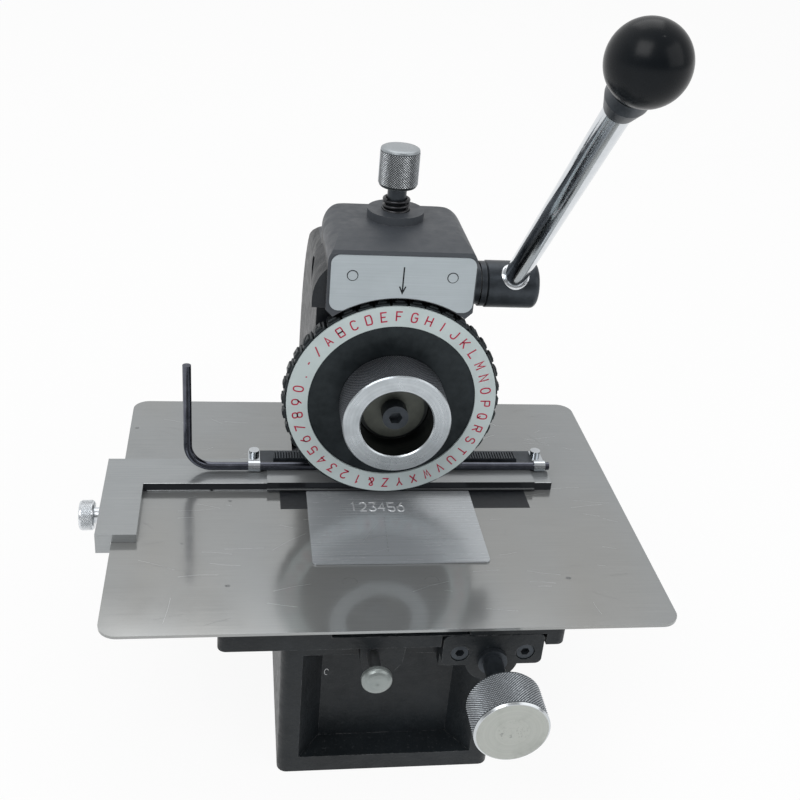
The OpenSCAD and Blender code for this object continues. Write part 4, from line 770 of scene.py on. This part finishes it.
def paint_chip():
    """The uneven edge of a chip in the paint of the recess in the pedestal's front."""
    x, z, half_width, half_height, recess = -28.6, 53.2, 1.1, 2.0, -70.2
    angles = (0.5, 1.2, 2.0, 2.9, 3.7, 4.4, 5.1)
    rim = [(x + half_width * math.cos(a), z + half_height * math.sin(a)) for a in angles]
    shape = Shape()
    shape.band(rim, width=0.4, height=0.02, place=front(recess), top=0.6)
    piece("paint_chip", shape, "frame", ["scratch_light"])


def table_marks():
    """Small dents on the table, each (x, y, radius), longer along the table than across it."""
    dents = ((-131.2, 73.6, 0.9), (-77.5, -1.1, 0.8), (-78.1, -71.6, 1.0), (88.7, -69.6, 1.1),
             (-101.0, -38.0, 0.5))
    shape = Shape()
    for x, y, r in dents:
        rim = [(x + r * math.cos(a), y + 0.6 * r * math.sin(a)) for a in (0, 1.05, 2.1, 3.14, 4.19, 5.24)]
        shape.band(rim, width=0.5 * r, height=0.012, place=level(TABLE_TOP), closed=True)
    piece("table_marks", shape, "table", ["mark_grey"])


def scratches(name, body, slot, x_range, y_range, z, count, seed, tone):
    """Fine straight scratches on a level surface, most of them along its length, and none over the table's
    notch."""
    lengthways, wander, half_length, bend = 0.7, 0.35, (1.5, 11), 0.08
    rnd = random.Random(seed)
    shape = Shape()
    for _ in range(count):
        middle = Vector((rnd.uniform(*x_range), rnd.uniform(*y_range)))
        a = rnd.gauss(0, wander) if rnd.random() < lengthways else rnd.uniform(0, 3.1)
        step = Vector((math.cos(a), math.sin(a))) * rnd.uniform(*half_length)
        bow = Vector((-step.y, step.x)) * rnd.uniform(-bend, bend)
        ends = [middle - step, middle + bow, middle + step]
        inside = all(x_range[0] < q.x < x_range[1] and y_range[0] < q.y < y_range[1] for q in ends)
        in_notch = any(abs(q.x) < NOTCH_HALF_WIDTH and q.y > NOTCH_FRONT for q in ends)
        if inside and not in_notch:
            shape.band(ends, width=rnd.uniform(0.06, 0.13), height=0.008, place=level(z))
    piece(name, shape, body, [tone])


wheel_cup()
feed_wheel()
depth_wheel()
thumb_wheel()
rod_seat()
springs()
type_ring()
plate_arrow_and_rivet_shade()
blank_marks()
table_reflection_sheet()
guide_edge_highlights()
paint_chip()
table_marks()
TABLE_AREA = ((-130, 130), (-101, 101), TABLE_TOP)
BLANK_AREA = ((-35, 50), (-55, -16), BLANK_TOP)
scratches("table_scratches", "table", "table_steel", *TABLE_AREA, count=90, seed=11, tone="scratch_light")
scratches("table_scuffs", "table", "table_steel", *TABLE_AREA, count=40, seed=23, tone="mark_grey")
scratches("blank_scratches", "blank", "blank_metal", *BLANK_AREA, count=16, seed=5, tone="scratch_light")


# Floor, light and camera

def floor():
    """A pale floor that keeps the object's shadow, and is nearly white to the camera, metal and glass."""
    reach, z, white_share = 6, -0.4 * MM, 0.92
    t = Surface("floor")
    t.finish(t.ramp(t.noise(t.place(), 6, 3, 0.5), (0.3, grey(0.90)), (0.7, grey(0.92))), 0.9, specular=0.1)
    ray = t.add("ShaderNodeLightPath", {}).outputs
    seen = t.math("MAXIMUM", ray["Is Camera Ray"], ray["Is Glossy Ray"])
    share = t.math("MULTIPLY", t.math("MAXIMUM", seen, ray["Is Transmission Ray"]), white_share)
    white = t.add("ShaderNodeEmission", {"Color": (*grey(1), 1)}).outputs["Emission"]
    t.feed(t.output.inputs["Surface"], t.mix_shader(share, t.shader.outputs["BSDF"], white))

    mesh = bpy.data.meshes.new("floor")
    mesh.from_pydata([(-reach, -reach, z), (reach, -reach, z), (reach, reach, z), (-reach, reach, z)], [],
                     [(0, 1, 2, 3)])
    mesh.materials.append(t.material)
    o = bpy.data.objects.new("floor", mesh)
    scene.collection.objects.link(o)


def area(name, place, size, power):
    """A square lamp that points at the middle of the machine."""
    middle = Vector((0, 0, 0.15))
    lamp = bpy.data.lights.new(name, "AREA")
    lamp.energy = power
    lamp.size = size
    o = bpy.data.objects.new(name, lamp)
    scene.collection.objects.link(o)
    o.location = place
    o.rotation_euler = (middle - Vector(place)).to_track_quat("-Z", "Y").to_euler()


def world_light():
    """White to the camera, a plain level for diffuse light, and to metal a white room that is dimmer in
    front, where the operator stands, and towards the right."""
    plain_level = 0.55
    scene.world = bpy.data.worlds.new("world")
    t = Nodes(scene.world)

    def background(strength):
        inputs = {"Color": (*grey(1), 1), "Strength": strength}
        return t.add("ShaderNodeBackground", inputs).outputs["Background"]

    way = t.split(t.coordinates("Generated"))
    ahead = t.map_range(way["Y"], -0.85, 0.45, 0.45, 1.0)
    rightward = t.map_range(way["X"], -0.8, 0.8, 1.0, 0.7)
    upward = t.map_range(way["Z"], 0.0, 0.6, 0.0, 1.0)
    wall = t.math("MULTIPLY", ahead, t.math("MAXIMUM", upward, ahead))
    room = background(t.math("MULTIPLY", wall, rightward))
    ray = t.add("ShaderNodeLightPath", {}).outputs
    mirrored = t.math("MAXIMUM", ray["Is Glossy Ray"], ray["Is Transmission Ray"])
    light = t.mix_shader(mirrored, background(plain_level), room)
    light = t.mix_shader(ray["Is Camera Ray"], light, background(1.0))
    t.add("ShaderNodeOutputWorld", {"Surface": light})


def camera():
    """The photograph's viewpoint: where it stands, in metres, and its right and backward directions. The
    focal length is in pixels, as the photograph's width is, and the sensor's width in millimetres."""
    photo_width, focal_length, sensor = 800, 1105, 36
    place = Vector((-0.0756, -0.4885, 0.4442))
    right = Vector((0.9889, -0.1248, 0.0802)).normalized()
    back = Vector((-0.1480, -0.8633, 0.4824)).normalized()
    up = back.cross(right).normalized()
    right = up.cross(back).normalized()
    lens = bpy.data.cameras.new("camera")
    lens.sensor_width = sensor
    lens.lens = focal_length * sensor / photo_width
    lens.clip_start = 0.01
    lens.clip_end = 50
    o = bpy.data.objects.new("camera", lens)
    scene.collection.objects.link(o)
    o.matrix_world = Matrix([*zip(right, up, back, place), (0, 0, 0, 1)])
    scene.camera = o


floor()
area("key", (-0.9, -1.1, 1.7), 1.2, 16)
area("fill", (1.4, -1.0, 1.1), 1.4, 7)
area("back", (0.2, 1.2, 2.3), 1.6, 10)
world_light()
camera()
scene.view_settings.view_transform = "Standard"


# Edges of the CAD nodes

def soften(o, width, segments):
    """Joins a node's level faces, rounds its sharp edges and shades it smoothly."""
    level_within, sharp_beyond = math.radians(0.6), math.radians(30)
    flat = o.modifiers.new("flat", "DECIMATE")
    flat.decimate_type = "DISSOLVE"
    flat.angle_limit = level_within
    edge = o.modifiers.new("edge", "BEVEL")
    edge.width = width * MM
    edge.segments = segments
    edge.limit_method = "ANGLE"
    edge.angle_limit = sharp_beyond
    edge.harden_normals = True
    for face in o.data.polygons:
        face.use_smooth = True
    normals = o.modifiers.new("normals", "WEIGHTED_NORMAL")
    normals.keep_sharp = True


MACHINED_EDGE = 0.35
WIDE_EDGES = {"pedestal": 0.8, "saddle": 0.8, "frame_arm": 0.8, "feed_bracket": 0.8, "guide_plate": 0.5}
for name, o in NODES.items():
    soften(o, WIDE_EDGES.get(name, MACHINED_EDGE), 3 if name in WIDE_EDGES else 2)
